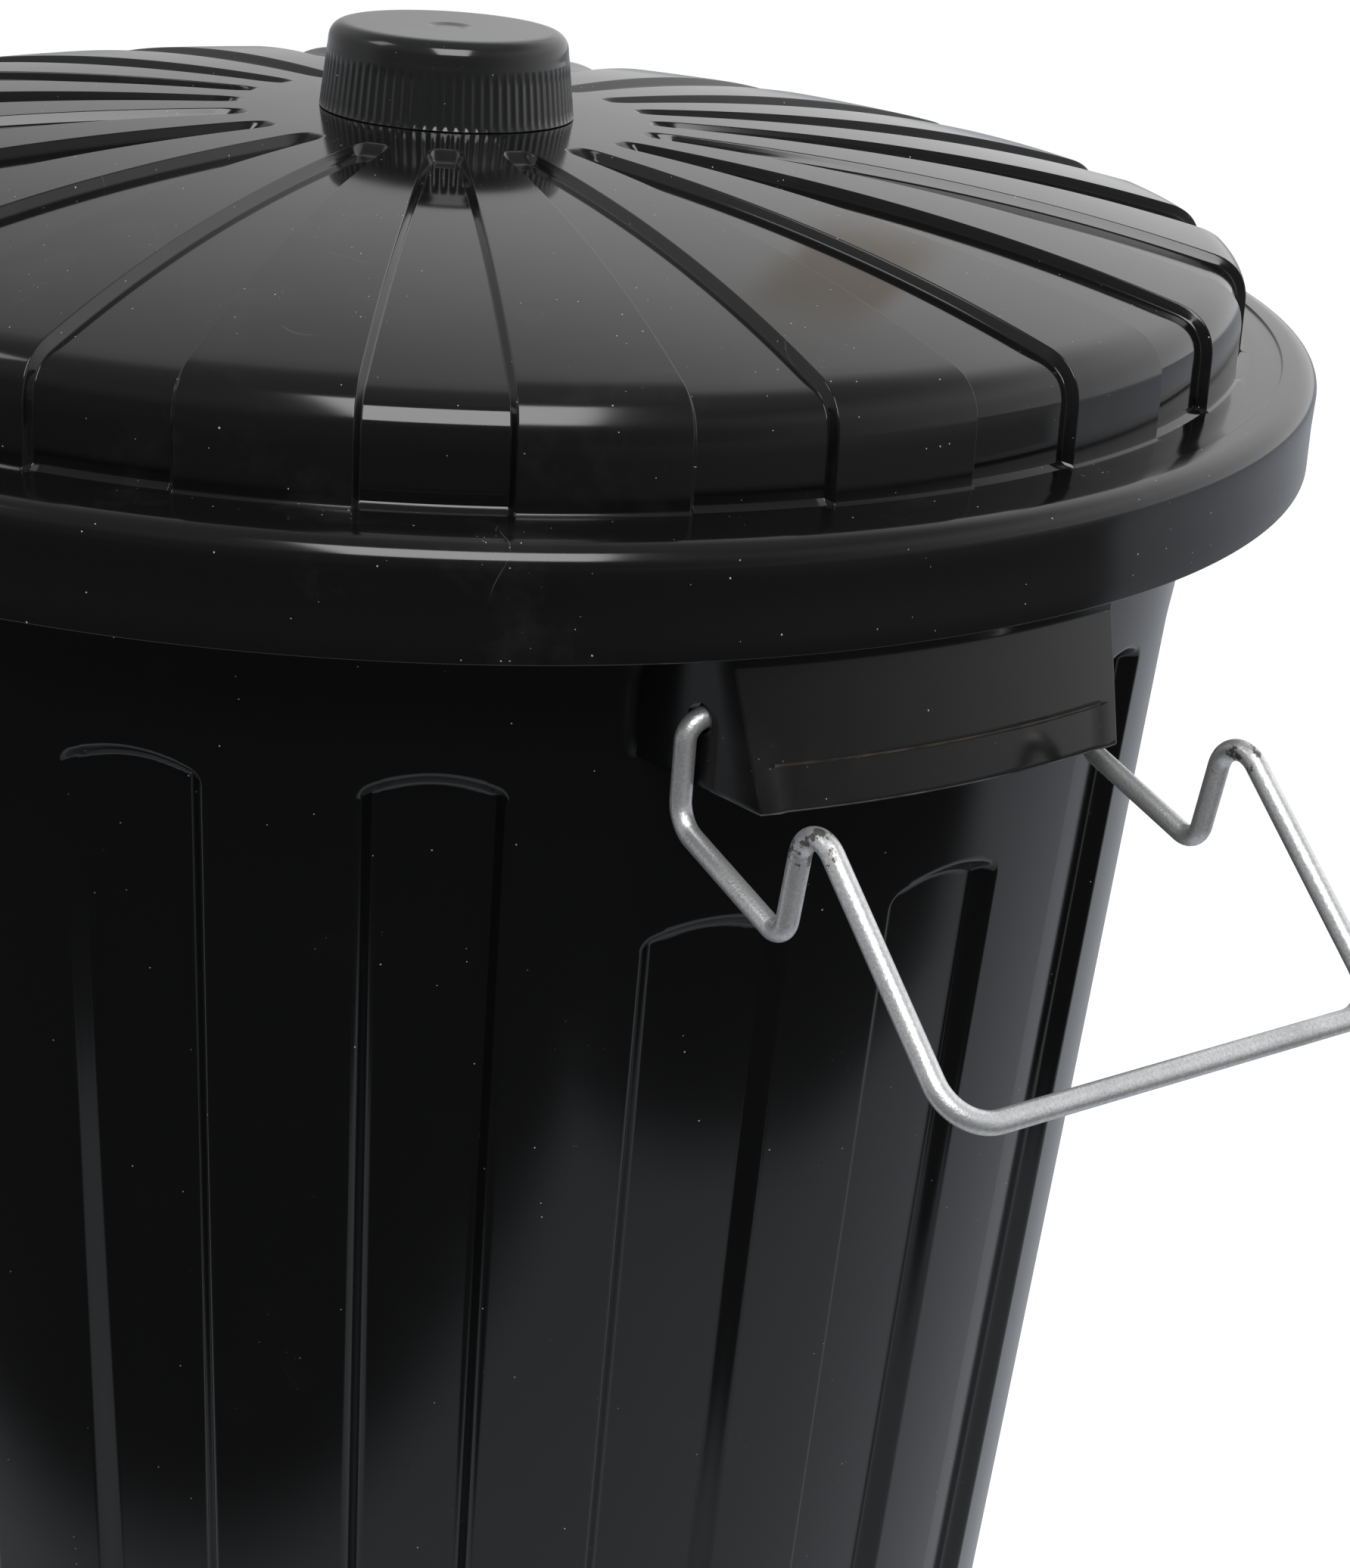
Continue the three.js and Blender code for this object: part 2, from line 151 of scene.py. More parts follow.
RIM_RADIUS = BODY_TOP_RADIUS + RIM_REACH
BAND_LEVEL = BODY_HEIGHT + GAP + LID_WALL
SKIRT_LEVEL = BAND_LEVEL - SKIRT_DEPTH
LID_RADIUS = RIM_RADIUS + SKIRT_CLEARANCE + LID_WALL
CREASE_RADIUS = LID_RADIUS - BEAD_WIDTH
DOME_FOOT = CREASE_RADIUS - BAND_WIDTH
PAD_LEVEL = BAND_LEVEL + CROWN_HEIGHT
FOLD_LEVEL = SKIRT_LEVEL - BRACKET_BAND
BRACKET_LEVEL = FOLD_LEVEL - BRACKET_FACE
BAND_RADIUS = RIM_RADIUS + BRACKET_PROUD
BRACKET_FOOT = BAND_RADIUS + BRACKET_LEAN
PIVOT_RADIUS = RIM_RADIUS - PIVOT_SETBACK
PIVOT_LEVEL = SKIRT_LEVEL - PIVOT_DROP
SECTOR_STEP = 360.0 / SECTORS


# ---- Mesh helpers ----

def new_object(name, vertices, faces):
    """A mesh object from millimetre points."""
    mesh = bpy.data.meshes.new(name)
    mesh.from_pydata((np.asarray(vertices, float) * MM).tolist(), [], faces)
    mesh.validate()
    mesh.shade_smooth()
    obj = bpy.data.objects.new(name, mesh)
    bpy.context.scene.collection.objects.link(obj)
    return obj


def outward(obj):
    """Turns a closed mesh's faces to point out."""
    bm = bmesh.new()
    bm.from_mesh(obj.data)
    bmesh.ops.remove_doubles(bm, verts=bm.verts, dist=MERGE_DISTANCE)
    bmesh.ops.recalc_face_normals(bm, faces=bm.faces)
    bm.to_mesh(obj.data)
    bm.free()
    obj.data.shade_smooth()
    return obj


def ring_faces(rows, columns):
    """The point numbers of a grid whose rows each run once round, and its faces."""
    index = np.arange(rows * columns).reshape(rows, columns)
    a, b = index[:-1], index[1:]
    quads = np.stack([a, np.roll(a, -1, 1), np.roll(b, -1, 1), b], -1)
    return index, quads.reshape(-1, 4).tolist()


def wrapped_grid(name, points):
    """A closed mesh from rows of points that each run once round. The first and the last
    row close to a point on the axis or onto each other."""
    _, faces = ring_faces(*points.shape[:2])
    return outward(new_object(name, points.reshape(-1, 3), faces))


def arc(before, at, after, radius, steps):
    """Points on the bend that rounds a corner, from the side before it to the side after."""
    back, ahead = before - at, after - at
    back /= np.linalg.norm(back)
    ahead /= np.linalg.norm(ahead)
    half = math.acos(np.clip(back @ ahead, -1, 1)) / 2
    middle = (back + ahead) / np.linalg.norm(back + ahead)
    centre = at + middle * radius / math.sin(half)
    spoke = at + back * radius / math.tan(half) - centre
    angles = (math.pi - 2 * half) * np.arange(steps + 1) / steps
    return [centre + spoke * math.cos(angle) - back * radius * math.sin(angle) for angle in angles]


def filleted(corners, steps=6):
    """A polyline in the plane through corners (x, y, bend radius), each corner rounded."""
    stops = [np.array(corner[:2], float) for corner in corners]
    points = [stops[0]]
    for i in range(1, len(corners) - 1):
        bend = corners[i][2]
        if bend > 0:
            points += arc(stops[i - 1], stops[i], stops[i + 1], bend, steps)
        else:
            points.append(stops[i])
    return np.array(points + [stops[-1]])


def spaced(points, longest):
    """The polyline with its longer runs cut into steps of at most that length."""
    out = [points[0]]
    for a, b in zip(points[:-1], points[1:]):
        count = max(1, math.ceil(np.linalg.norm(b - a) / longest - 1e-6))
        out += [a + (b - a) * (step + 1) / count for step in range(count)]
    return np.array(out)


def smooth(t):
    """A rise from 0 to 1 that is level at both ends."""
    t = np.clip(t, 0, 1)
    return t * t * (3 - 2 * t)


def stepped(t):
    """A straight ramp from 0 to 1 whose two ends are rounded over a share of its run."""
    t = np.clip(t, 0, 1)
    foot = t ** 2 / (2 * STEP_FILLET)
    head = 1 - STEP_FILLET - (1 - t) ** 2 / (2 * STEP_FILLET)
    on_ramp = t - STEP_FILLET / 2
    rise = np.where(t < STEP_FILLET, foot, np.where(t > 1 - STEP_FILLET, head, on_ramp))
    return rise / (1 - STEP_FILLET)


def normals_of(profile):
    """Unit normals to the left of a polyline's run."""
    tangent = np.gradient(profile, axis=0)
    tangent /= np.linalg.norm(tangent, axis=1)[:, None] + 1e-12
    return np.stack([-tangent[:, 1], tangent[:, 0]], -1)


def polar(radius, azimuth, height):
    """Points from radii and heights in millimetres and azimuths in degrees."""
    angle = np.radians(azimuth)
    return np.stack([radius * np.cos(angle), radius * np.sin(angle), height], -1)


# ---- Bin body ----

def wall_radius(level):
    """Radius of the tapered and slightly bulged outer wall at a level."""
    share = np.clip(np.asarray(level, float) / BODY_HEIGHT, 0, 1)
    straight = BODY_BASE_RADIUS + (BODY_TOP_RADIUS - BODY_BASE_RADIUS) * share
    return straight + BODY_BULGE * np.sin(np.pi * share)


def flute_columns():
    """Azimuths round the whole bin, as (azimuth, offset from the flute's middle, half angle
    of that flute, how far its top lies below the bin's top). The steps are wide on a
    flute's floor, close over its side wall and wide again between flutes."""
    columns = []
    for number in range(SECTORS):
        middle = SECTOR_STEP * (number + 0.5)
        under = abs(math.sin(math.radians(middle))) < math.sin(math.radians(SECTOR_STEP))
        edge = FLUTE_HALF_ANGLE * (FLUTE_WIDENING if under else 1.0)
        drop = FLUTE_TOP_DROP_AT_BRACKETS if under else FLUTE_TOP_DROP
        half = np.concatenate([
            np.linspace(0, edge - FLUTE_WALL_ANGLE - 0.35, 6),
            np.linspace(edge - FLUTE_WALL_ANGLE - 0.2, edge + 0.25, 16),
            np.linspace(edge + 0.5, SECTOR_STEP / 2, 7),
        ])
        for offset in np.concatenate([-half[::-1], half[1:-1]]):
            columns.append([middle + offset, offset, edge, drop])
    return np.array(columns).T


def rounded_inside(side, end, corner):
    """Distance inside a shape's outline, from the distances to its side and to its end,
    with the corner between them rounded."""
    u, v = np.maximum(corner - side, 0), np.maximum(corner - end, 0)
    at_corner = (side < corner) & (end < corner)
    return np.where(at_corner, corner - np.hypot(u, v), np.minimum(side, end))


def flute_sunk(level, offset, edge, drop):
    """How deep the wall is sunk at a level and an offset from a flute's middle, 0 to 1."""
    radius = wall_radius(level)
    across = np.radians(np.abs(offset)) * radius
    half = np.radians(edge) * radius
    crown = BODY_HEIGHT - drop - FLUTE_ARCH_RISE * np.clip(across / half, 0, 1) ** 2
    end = np.minimum(crown - level, level - FLUTE_BOTTOM)
    inside = rounded_inside(half - across, end, FLUTE_CORNER)
    return smooth(inside / (math.radians(FLUTE_WALL_ANGLE) * radius))


def make_bucket():
    """The bucket: foot, fluted outside, turned-over rim, fluted inside and floor."""
    azimuth, offset, edge, drop = flute_columns()
    low_top = BODY_HEIGHT - FLUTE_TOP_DROP_AT_BRACKETS
    high_top = BODY_HEIGHT - FLUTE_TOP_DROP
    # Rows, close together at the flutes' lower ends and at both heights of arched tops.
    levels = np.unique(np.round(np.concatenate([
        np.linspace(BASE_BEVEL + 0.5, FLUTE_BOTTOM - 2, 4),
        np.linspace(FLUTE_BOTTOM - 1, FLUTE_BOTTOM + 16, 18),
        np.linspace(FLUTE_BOTTOM + 18, low_top - 19.5, 60),
        np.linspace(low_top - 17.5, low_top + 2.5, 40),
        np.linspace(low_top + 3.5, high_top - 19.5, 8),
        np.linspace(high_top - 18.5, high_top + 2.5, 42),
        np.linspace(high_top + 5.5, BODY_HEIGHT - BODY_WALL - 3, 8),
    ]), 3))
    rows = []

    def plain(profile):
        for point in profile:
            rows.append(np.broadcast_to(point, (len(azimuth), 2)))

    def fluted(at_levels, inset):
        for level in at_levels:
            sunk = flute_sunk(level, offset, edge, drop)
            radius = wall_radius(level) - inset - FLUTE_DEPTH * sunk
            rows.append(np.stack([radius, np.full(len(azimuth), level)], -1))

    # The profiles are corners (radius, level, bend radius).
    lip = RIM_RADIUS - BODY_WALL
    ring_radius = BODY_BASE_RADIUS - BASE_BEVEL - FOOT_WIDTH
    foot = filleted([
        (0, FLOOR_RISE, 0),
        (ring_radius - FOOT_SLOPE, FLOOR_RISE, 2),
        (ring_radius, 0, 2),
        (BODY_BASE_RADIUS - BASE_BEVEL, 0, 2.5),
        (wall_radius(BASE_BEVEL), BASE_BEVEL, 2),
        (wall_radius(BASE_BEVEL + 4), BASE_BEVEL + 4, 0),
    ])[:-1]
    rim = filleted([
        (wall_radius(BODY_HEIGHT - BODY_WALL - 6), BODY_HEIGHT - BODY_WALL - 6, 0),
        (wall_radius(BODY_HEIGHT - BODY_WALL), BODY_HEIGHT - BODY_WALL, 1.5),
        (lip, BODY_HEIGHT - BODY_WALL, 1.2),
        (lip, BODY_HEIGHT - RIM_DEPTH, 0.8),
        (RIM_RADIUS, BODY_HEIGHT - RIM_DEPTH, 0.8),
        (RIM_RADIUS, BODY_HEIGHT, 2.2),
        (wall_radius(BODY_HEIGHT) - BODY_WALL, BODY_HEIGHT, 2.0),
        (wall_radius(BODY_HEIGHT - 8) - BODY_WALL, BODY_HEIGHT - 8, 0),
    ])[1:-1]
    floor_top = FLOOR_RISE + BODY_WALL
    inner_floor = filleted([
        (wall_radius(BASE_BEVEL + 12) - BODY_WALL, floor_top + 12, 0),
        (BODY_BASE_RADIUS - BODY_WALL - 1, floor_top, 6),
        (0, floor_top, 0),
    ])[1:]
    plain(foot)
    fluted(levels[levels > foot[-1][1] + 0.3], 0)
    plain(rim)
    fluted(levels[(levels >= floor_top + 7) & (levels < BODY_HEIGHT - 10)][::-1], BODY_WALL)
    plain(inner_floor)
    grid = np.stack(rows)
    return wrapped_grid("bucket", polar(grid[..., 0], azimuth[None, :], grid[..., 1]))


def bracket_half(radius):
    """Half the width of a bracket, which widens towards the bin."""
    return BRACKET_HALF_WIDTH + BRACKET_SPLAY * (BRACKET_FOOT - radius)


def bracket_ring(front, near, inset, sink):
    """Plan of a bracket's U: points from its root in the wall out along one side, across
    the front arc and back. inset draws it in; sink(across) sinks the front."""
    narrowed = inset * math.hypot(1, BRACKET_SPLAY)
    radius = front - inset

    def half(x):
        return bracket_half(x) - narrowed

    x = radius
    for _ in range(30):
        x = math.sqrt(max(radius ** 2 - half(x) ** 2, 1))
    corner = half(x)
    bend = BRACKET_BEND if inset == 0 else BRACKET_INNER_BEND
    side = np.array([[x0, -half(x0)] for x0 in np.linspace(near, x, BRACKET_SIDE_STEPS)[:-1]])
    side[-1] += (np.array([x, -corner]) - side[-1]) * 0.6
    swing = math.asin(corner / radius)
    round_share = bend / (radius * swing)
    across = np.concatenate([
        np.linspace(-1, -1 + 2.2 * round_share, 5)[1:],
        np.linspace(-1 + 3.5 * round_share, 1 - 3.5 * round_share, BRACKET_FRONT_STEPS),
        np.linspace(1 - 2.2 * round_share, 1, 5)[:-1],
    ])
    face = []
    for share in across:
        edge = (1 - abs(share)) * radius * swing
        ease = max(bend - edge, 0) ** 2 / (2.4 * bend)
        r = radius - ease - sink(share * radius * swing)
        face.append([r * math.cos(share * swing), r * math.sin(share * swing)])
    leg = side.tolist() + [[x - 0.35 * bend, -corner + 0.12 * bend]]
    return np.array(leg + face + [[x0, -y0] for x0, y0 in leg[::-1]])


def cut_wire_hole(obj):
    """Cuts a straight round hole through both side walls, for the wire's two ends."""
    reach = (PIVOT_HOLE_CLEARANCE + WIRE_RADIUS) * MM
    place = Matrix.Translation(Vector((PIVOT_RADIUS, 0, PIVOT_LEVEL)) * MM)
    place = place @ Matrix.Rotation(math.pi / 2, 4, "X")
    bm = bmesh.new()
    bmesh.ops.create_cone(bm, cap_ends=True, segments=HOLE_SIDES, radius1=reach, radius2=reach,
                          depth=HOLE_LENGTH * MM, matrix=place)
    cutter = bpy.data.meshes.new(obj.name + "_cut")
    bm.to_mesh(cutter)
    bm.free()
    tool = bpy.data.objects.new(obj.name + "_cut", cutter)
    bpy.context.scene.collection.objects.link(tool)
    cut = obj.modifiers.new("cut", "BOOLEAN")
    cut.object, cut.operation, cut.solver = tool, "DIFFERENCE", "EXACT"
    depsgraph = bpy.context.evaluated_depsgraph_get()
    mesh = bpy.data.meshes.new_from_object(obj.evaluated_get(depsgraph))
    obj.modifiers.clear()
    obj.data = mesh
    bpy.data.objects.remove(tool)


def make_bracket(name, turn):
    """One hollow bracket, open below, with its shallow blank strip and its wire hole."""
    near = BODY_TOP_RADIUS - BRACKET_ROOT
    strip_top = BRACKET_LEVEL + STRIP_HEIGHT
    # Levels, each with how far the outside is drawn in there to bevel the lower edge.
    levels = [(BRACKET_LEVEL, 0.5), (BRACKET_LEVEL + 0.15, 0.2), (BRACKET_LEVEL + 0.55, 0.0)]
    levels += [(level, 0.0) for level in np.concatenate([
        np.linspace(BRACKET_LEVEL + 1.5, strip_top - 0.8, 6),
        np.linspace(strip_top - STRIP_EDGE, strip_top + STRIP_EDGE, 6),
        np.linspace(strip_top + 1.5, FOLD_LEVEL - 0.8, 8),
        np.linspace(FOLD_LEVEL - FOLD_BEND, FOLD_LEVEL + FOLD_BEND, 5),
        np.linspace(FOLD_LEVEL + 1.2, BODY_HEIGHT - BODY_WALL - 0.6, 6),
    ])]
    rows = []
    for level, drawn in levels:
        rise = level - FOLD_LEVEL
        lean = BRACKET_LEAN * max(-rise, 0) / BRACKET_FACE
        if abs(rise) < FOLD_BEND:
            lean = BRACKET_LEAN / BRACKET_FACE * (FOLD_BEND - rise) ** 2 / (4 * FOLD_BEND)
        front = BAND_RADIUS + lean
        on_strip = 1 - smooth((level - (strip_top - STRIP_EDGE)) / (2 * STRIP_EDGE))
        half = bracket_half(front) - STRIP_MARGIN

        def sink(y, on_strip=on_strip, half=half):
            return STRIP_DEPTH * on_strip * float(smooth((half - abs(y)) / STRIP_END + 0.5))

        outer = bracket_ring(front, near, drawn, sink)
        inner = bracket_ring(front, near, BRACKET_WALL - drawn * 0.5, lambda y: 0.0)
        loop = np.concatenate([outer, inner[::-1]])
        rows.append(np.column_stack([loop, np.full(len(loop), level)]))
    grid = np.stack(rows)
    index, faces = ring_faces(*grid.shape[:2])
    for row in (index[0], index[-1]):
        outer, inner = row[:len(row) // 2], row[::-1][:len(row) // 2]
        for quad in zip(outer[:-1], outer[1:], inner[1:], inner[:-1]):
            faces.append([int(point) for point in quad])
    obj = outward(new_object(name, grid.reshape(-1, 3), faces))
    cut_wire_hole(obj)
    obj.data.transform(Matrix.Rotation(math.radians(turn), 4, "Z"))
    obj.data.shade_smooth()
    obj.data.set_sharp_from_angle(angle=math.radians(BRACKET_SHARP_ANGLE))
    return obj


# ---- Lid ----

def cap_level(radius):
    """Level of the lid's crown at a radius."""
    fall = (radius / (DOME_FOOT - DOME_LEAN)) ** CAP_POWER
    return PAD_LEVEL - (CROWN_HEIGHT - DOME_SIDE_HEIGHT) * fall


def lid_profiles():
    """The lid's section as [radius, level] points: the dome's outside from the boss to the
    band, and the bead's outside from the band round the skirt's edge to the inside."""
    foot = np.array([DOME_FOOT, BAND_LEVEL])
    corner = foot + np.array([-DOME_LEAN, DOME_SIDE_HEIGHT])
    radii = np.concatenate([
        np.linspace(BOSS_RADIUS + BOSS_ROUNDING, 50, 8),
        np.linspace(51.5, SECTOR_TIP_RADIUS + 9, 20),
        np.linspace(SECTOR_TIP_RADIUS + 12, corner[0] - DOME_ROUNDING, 44),
    ])
    cap = np.column_stack([radii, cap_level(radii)])
    side_top = corner + (foot - corner) * DOME_ROUNDING / DOME_SIDE_HEIGHT
    t = np.linspace(0, 1, CAMBER_STEPS)[1:, None]
    shoulder = (1 - t) ** 2 * cap[-1] + 2 * t * (1 - t) * corner + t ** 2 * side_top
    side = spaced(filleted([
        (*side_top, 0), (DOME_FOOT, BAND_LEVEL, 0.9), (DOME_FOOT + 5, BAND_LEVEL, 0),
    ]), 2.0)[1:]
    top = LID_RADIUS - SKIRT_DRAFT
    crest = BAND_LEVEL + CREASE_STEP
    bead = filleted([
        (DOME_FOOT + 5, BAND_LEVEL, 0),
        (CREASE_RADIUS, BAND_LEVEL - 0.15, 0.35),
        (CREASE_RADIUS + 0.25, crest, 0.25),
        (LID_RADIUS - 0.5 * BEAD_WIDTH, crest - 0.25, 9.0),
        (top + 0.15, BAND_LEVEL - 0.12 * BEAD_WIDTH, 4.6),
        (LID_RADIUS - 0.72, SKIRT_LEVEL + 12, 0),
        (LID_RADIUS - 0.1, SKIRT_LEVEL, 0.5),
        (LID_RADIUS - LID_WALL, SKIRT_LEVEL, 0.5),
        (top - LID_WALL, BAND_LEVEL - 0.5 * BEAD_WIDTH, 2.0),
        (LID_RADIUS - 0.5 * BEAD_WIDTH - 1, BAND_LEVEL - LID_WALL, 3.0),
        (DOME_FOOT + 4, BAND_LEVEL - LID_WALL, 0),
    ], 7)
    return np.concatenate([cap, shoulder, side]), spaced(bead, 4.0)[1:]


def lid_columns(radius):
    """Offsets from a sector's middle at a radius, with close steps on its side walls."""
    edge = SECTOR_HALF_ANGLE
    wall = math.degrees(SECTOR_WALL / radius)
    inner = max(edge - wall * 1.08, 0.25 * edge)
    half = np.concatenate([
        np.linspace(0, inner, 5),
        np.linspace(inner, edge + 0.12 * wall, 16)[1:],
        np.linspace(edge + 0.12 * wall, SECTOR_STEP / 2, 9)[1:],
    ])
    return np.concatenate([-half[::-1], half[1:-1]])


def sector_sunk(radius, offset):
    """How deep the lid is sunk at an offset from a sector's middle, 0 to 1."""
    side = (math.radians(SECTOR_HALF_ANGLE) - np.radians(np.abs(offset))) * radius
    scoop = (radius - SECTOR_TIP_RADIUS) * SECTOR_WALL / SECTOR_SCOOP
    inside = rounded_inside(side, scoop, SECTOR_CORNER)
    return stepped(inside / SECTOR_WALL)


def make_lid():
    """The lid: boss, dome with its sunk sectors, bead, skirt and the inside of them all."""
    dome, bead = lid_profiles()
    blocks = []

    def row(point, along=(0, 0), inset=0.0, spread=BOSS_SPREAD):
        """One ring of points. It is set in, and its sectors are sunk, along a direction.
        spread is the radius for which its azimuths are spaced."""
        radius, level = point
        offsets = lid_columns(max(spread, LEAST_SPREAD))
        sunk = sector_sunk(radius, offsets) if along != (0, 0) else np.zeros(len(offsets))
        depth = inset + SECTOR_DEPTH * sunk
        ring = []
        for number in range(SECTORS):
            azimuth = SECTOR_STEP * (number + 0.5) + offsets + LID_TURN
            ring.append(polar(radius - along[0] * depth, azimuth, level - along[1] * depth))
        blocks.append(np.concatenate(ring))

    boss_level = PAD_LEVEL + BOSS_HEIGHT
    boss = filleted([
        (0, boss_level, 0),
        (BOSS_RADIUS, boss_level, BOSS_ROUNDING),
        (BOSS_RADIUS, PAD_LEVEL, BOSS_ROUNDING),
        (BOSS_RADIUS + BOSS_ROUNDING, PAD_LEVEL, 0),
    ])[:-1]
    for point in boss:
        row(point)
    inside = []
    for point, normal in zip(dome, normals_of(dome)):
        along = tuple(normal)
        if point[1] > BAND_LEVEL + 1.5:
            inside.append((point, along))
        if point[1] < BAND_LEVEL + 1e-6 and point[0] > DOME_FOOT + 1:
            along = (0, 0)
        elif point[1] < BAND_LEVEL + 5 and point[0] > DOME_FOOT - 2:
            along = (1.0, 0.0)
        row(point, along, spread=point[0])
    for point in bead:
        row(point, spread=point[0])
    for point, along in inside[::-3]:
        row(point, along, LID_WALL, point[0])
    for point in [
        (BOSS_RADIUS - LID_WALL, PAD_LEVEL - LID_WALL),
        (BOSS_RADIUS - LID_WALL, boss_level - LID_WALL),
        (0, boss_level - LID_WALL),
    ]:
        row(point)
    return wrapped_grid("lid_shell", np.stack(blocks))


# ---- Knob ----

def make_knob():
    """The knob: a hollow cap with a ribbed side, a dimple and an inner ring on the boss."""
    foot = PAD_LEVEL + KNOB_SEAT
    top = PAD_LEVEL + GAP + KNOB_HEIGHT
    shoulder = top - KNOB_SHOULDER_DROP
    taper = (KNOB_FOOT_RADIUS - KNOB_SHOULDER_RADIUS) / (shoulder - foot)
    edge = KNOB_SHOULDER_RADIUS - taper * KNOB_SHOULDER_DROP
    ceiling = top - KNOB_WALL
    ring = BOSS_RADIUS + GAP
    ring_level = PAD_LEVEL + BOSS_HEIGHT / 2
    section = spaced(filleted([
        (0, top - DIMPLE_DEPTH, 0),
        (DIMPLE_RADIUS * 0.55, top - DIMPLE_DEPTH, 3),
        (DIMPLE_RADIUS, top, 5),
        (edge, top, KNOB_ROUNDING),
        (KNOB_SHOULDER_RADIUS - 0.1, shoulder + 0.2, 0.5),
        (KNOB_SHOULDER_RADIUS + 0.12, shoulder - 1.0, 0.5),
        (KNOB_FOOT_RADIUS, foot + 0.15, 0.1),
        (KNOB_FOOT_RADIUS - 0.15, foot, 0.08),
        (KNOB_FOOT_RADIUS - KNOB_WALL, foot, 0.2),
        (KNOB_SHOULDER_RADIUS - KNOB_WALL, ceiling, 1.0),
        (ring + KNOB_WALL, ceiling, 0.5),
        (ring + KNOB_WALL, ring_level, 0.4),
        (ring, ring_level, 0.4),
        (ring, ceiling, 0.4),
        (0, ceiling, 0),
    ], 8), 1.5)
    radius, level = section[:, :1], section[:, 1:]
    columns = KNOB_RIBS * KNOB_RIB_STEPS
    azimuth = np.arange(columns) * 360.0 / columns
    wave = (0.5 + 0.5 * np.cos(np.radians(azimuth * KNOB_RIBS))) ** KNOB_RIB_SHARPNESS
    below_shoulder = smooth((shoulder - KNOB_RIB_TOP_FADE - level) / KNOB_RIB_TOP_FADE)
    above_foot = smooth((level - foot - 0.1) / KNOB_RIB_FOOT_FADE)
    ribbed = below_shoulder * (radius > KNOB_SHOULDER_RADIUS) * above_foot
    radius = radius - KNOB_RIB_DEPTH * ribbed * (1 - wave)
    return wrapped_grid("knob_cap", polar(radius, azimuth, np.broadcast_to(level, radius.shape)))


# ---- Wire handles ----

def wire_corners():
    """The handle's corners at +X as (radius, level), and the side distances of its two
    ends and of its legs."""
    splay = 1 / math.hypot(1, BRACKET_SPLAY)
    at_pivot = bracket_half(PIVOT_RADIUS)
    leg_plane = at_pivot + (WIRE_RADIUS + LEG_CLEARANCE) / splay
    end_plane = at_pivot - BRACKET_WALL / splay - WIRE_END

    def step(point, length, slope):
        angle = math.radians(slope)
        return (point[0] + length * math.cos(angle), point[1] + length * math.sin(angle))

    pivot = (PIVOT_RADIUS, PIVOT_LEVEL)
    knee = (PIVOT_RADIUS, PIVOT_LEVEL - LEG)
    valley = step(knee, SHANK, SHANK_SLOPE)
    peak = step(valley, HOOK, HOOK_SLOPE)
    grip = step(peak, ARM, ARM_SLOPE)
    return (pivot, knee, valley, peak, grip), end_plane, leg_plane


def hook_peak():
    """Radius and level of the handle's hooks, and their side distance."""
    (_, _, _, peak, _), _, leg_plane = wire_corners()
    return peak[0], peak[1], leg_plane


def wire_path():
    """The middle line of the handle at +X with its bends rounded."""
    (pivot, knee, valley, peak, grip), end_plane, leg_plane = wire_corners()

    def side(sign):
        stops = [
            (pivot, end_plane, 0),
            (pivot, leg_plane, PIVOT_BEND),
            (knee, leg_plane, KNEE_BEND),
            (valley, leg_plane, VALLEY_BEND),
            (peak, leg_plane, PEAK_BEND),
            (grip, leg_plane, GRIP_BEND),
        ]
        return [(np.array([p[0], sign * y, p[1]]), bend) for p, y, bend in stops]

    corners = side(-1) + side(1)[::-1]
    points = [corners[0][0]]
    for (before, _), (at, bend), (after, _) in zip(corners, corners[1:], corners[2:]):
        points += arc(before, at, after, bend, WIRE_BEND_STEPS)
    return spaced(np.array(points + [corners[-1][0]]), WIRE_SPACING)


def make_handle(name, turn):
    """One bent wire, swept along its middle line, with slightly rounded ends."""
    path = wire_path()
    tangent = np.gradient(path, axis=0)
    tangent /= np.linalg.norm(tangent, axis=1)[:, None]
    angle = 2 * np.pi * np.arange(WIRE_SIDES)[:, None] / WIRE_SIDES
    normal = np.cross(tangent[0], [0, 0, 1.0])
    rings = []
    for point, ahead in zip(path, tangent):
        normal = normal - ahead * (normal @ ahead)
        normal /= np.linalg.norm(normal)
        other = np.cross(ahead, normal)
        rings.append(point + WIRE_RADIUS * (np.cos(angle) * normal + np.sin(angle) * other))

    def end(ring, centre, away):
        """Rings that round off an end, from its middle out."""
        made = [np.repeat((centre + away * WIRE_END_CROWN)[None, :], WIRE_SIDES, 0)]
        for share in (0.55, 0.8, 0.93):
            rise = away * WIRE_END_CROWN * (1 - share ** 6)
            made.append(centre + (ring - centre) * share + rise)
        return made

    start = end(rings[0], path[0], -tangent[0])
    finish = end(rings[-1], path[-1], tangent[-1])
    obj = wrapped_grid(name, np.stack(start + rings + finish[::-1]))
    obj.data.transform(Matrix.Rotation(math.radians(turn), 4, "Z"))
    obj.data.set_sharp_from_angle(angle=math.radians(WIRE_SHARP_ANGLE))
    return obj


# ---- Materials ----

# Scales of the patterns, in features per metre
GLOSS_PATCHES, HAZE_PATCHES, RIPPLES = 11.0, 26.0, 38.0
SCRATCH_LINES, SCRATCHED_PATCHES = 17.0, 30.0
COARSE_DUST, FINE_DUST = 330.0, 800.0
# The next scale sets the patches that break up the painted edge highlights
HIGHLIGHT_PATCHES = 160.0
ZINC_GRAIN, ZINC_CLOUDS, SCUFFS = 1500.0, 70.0, 240.0

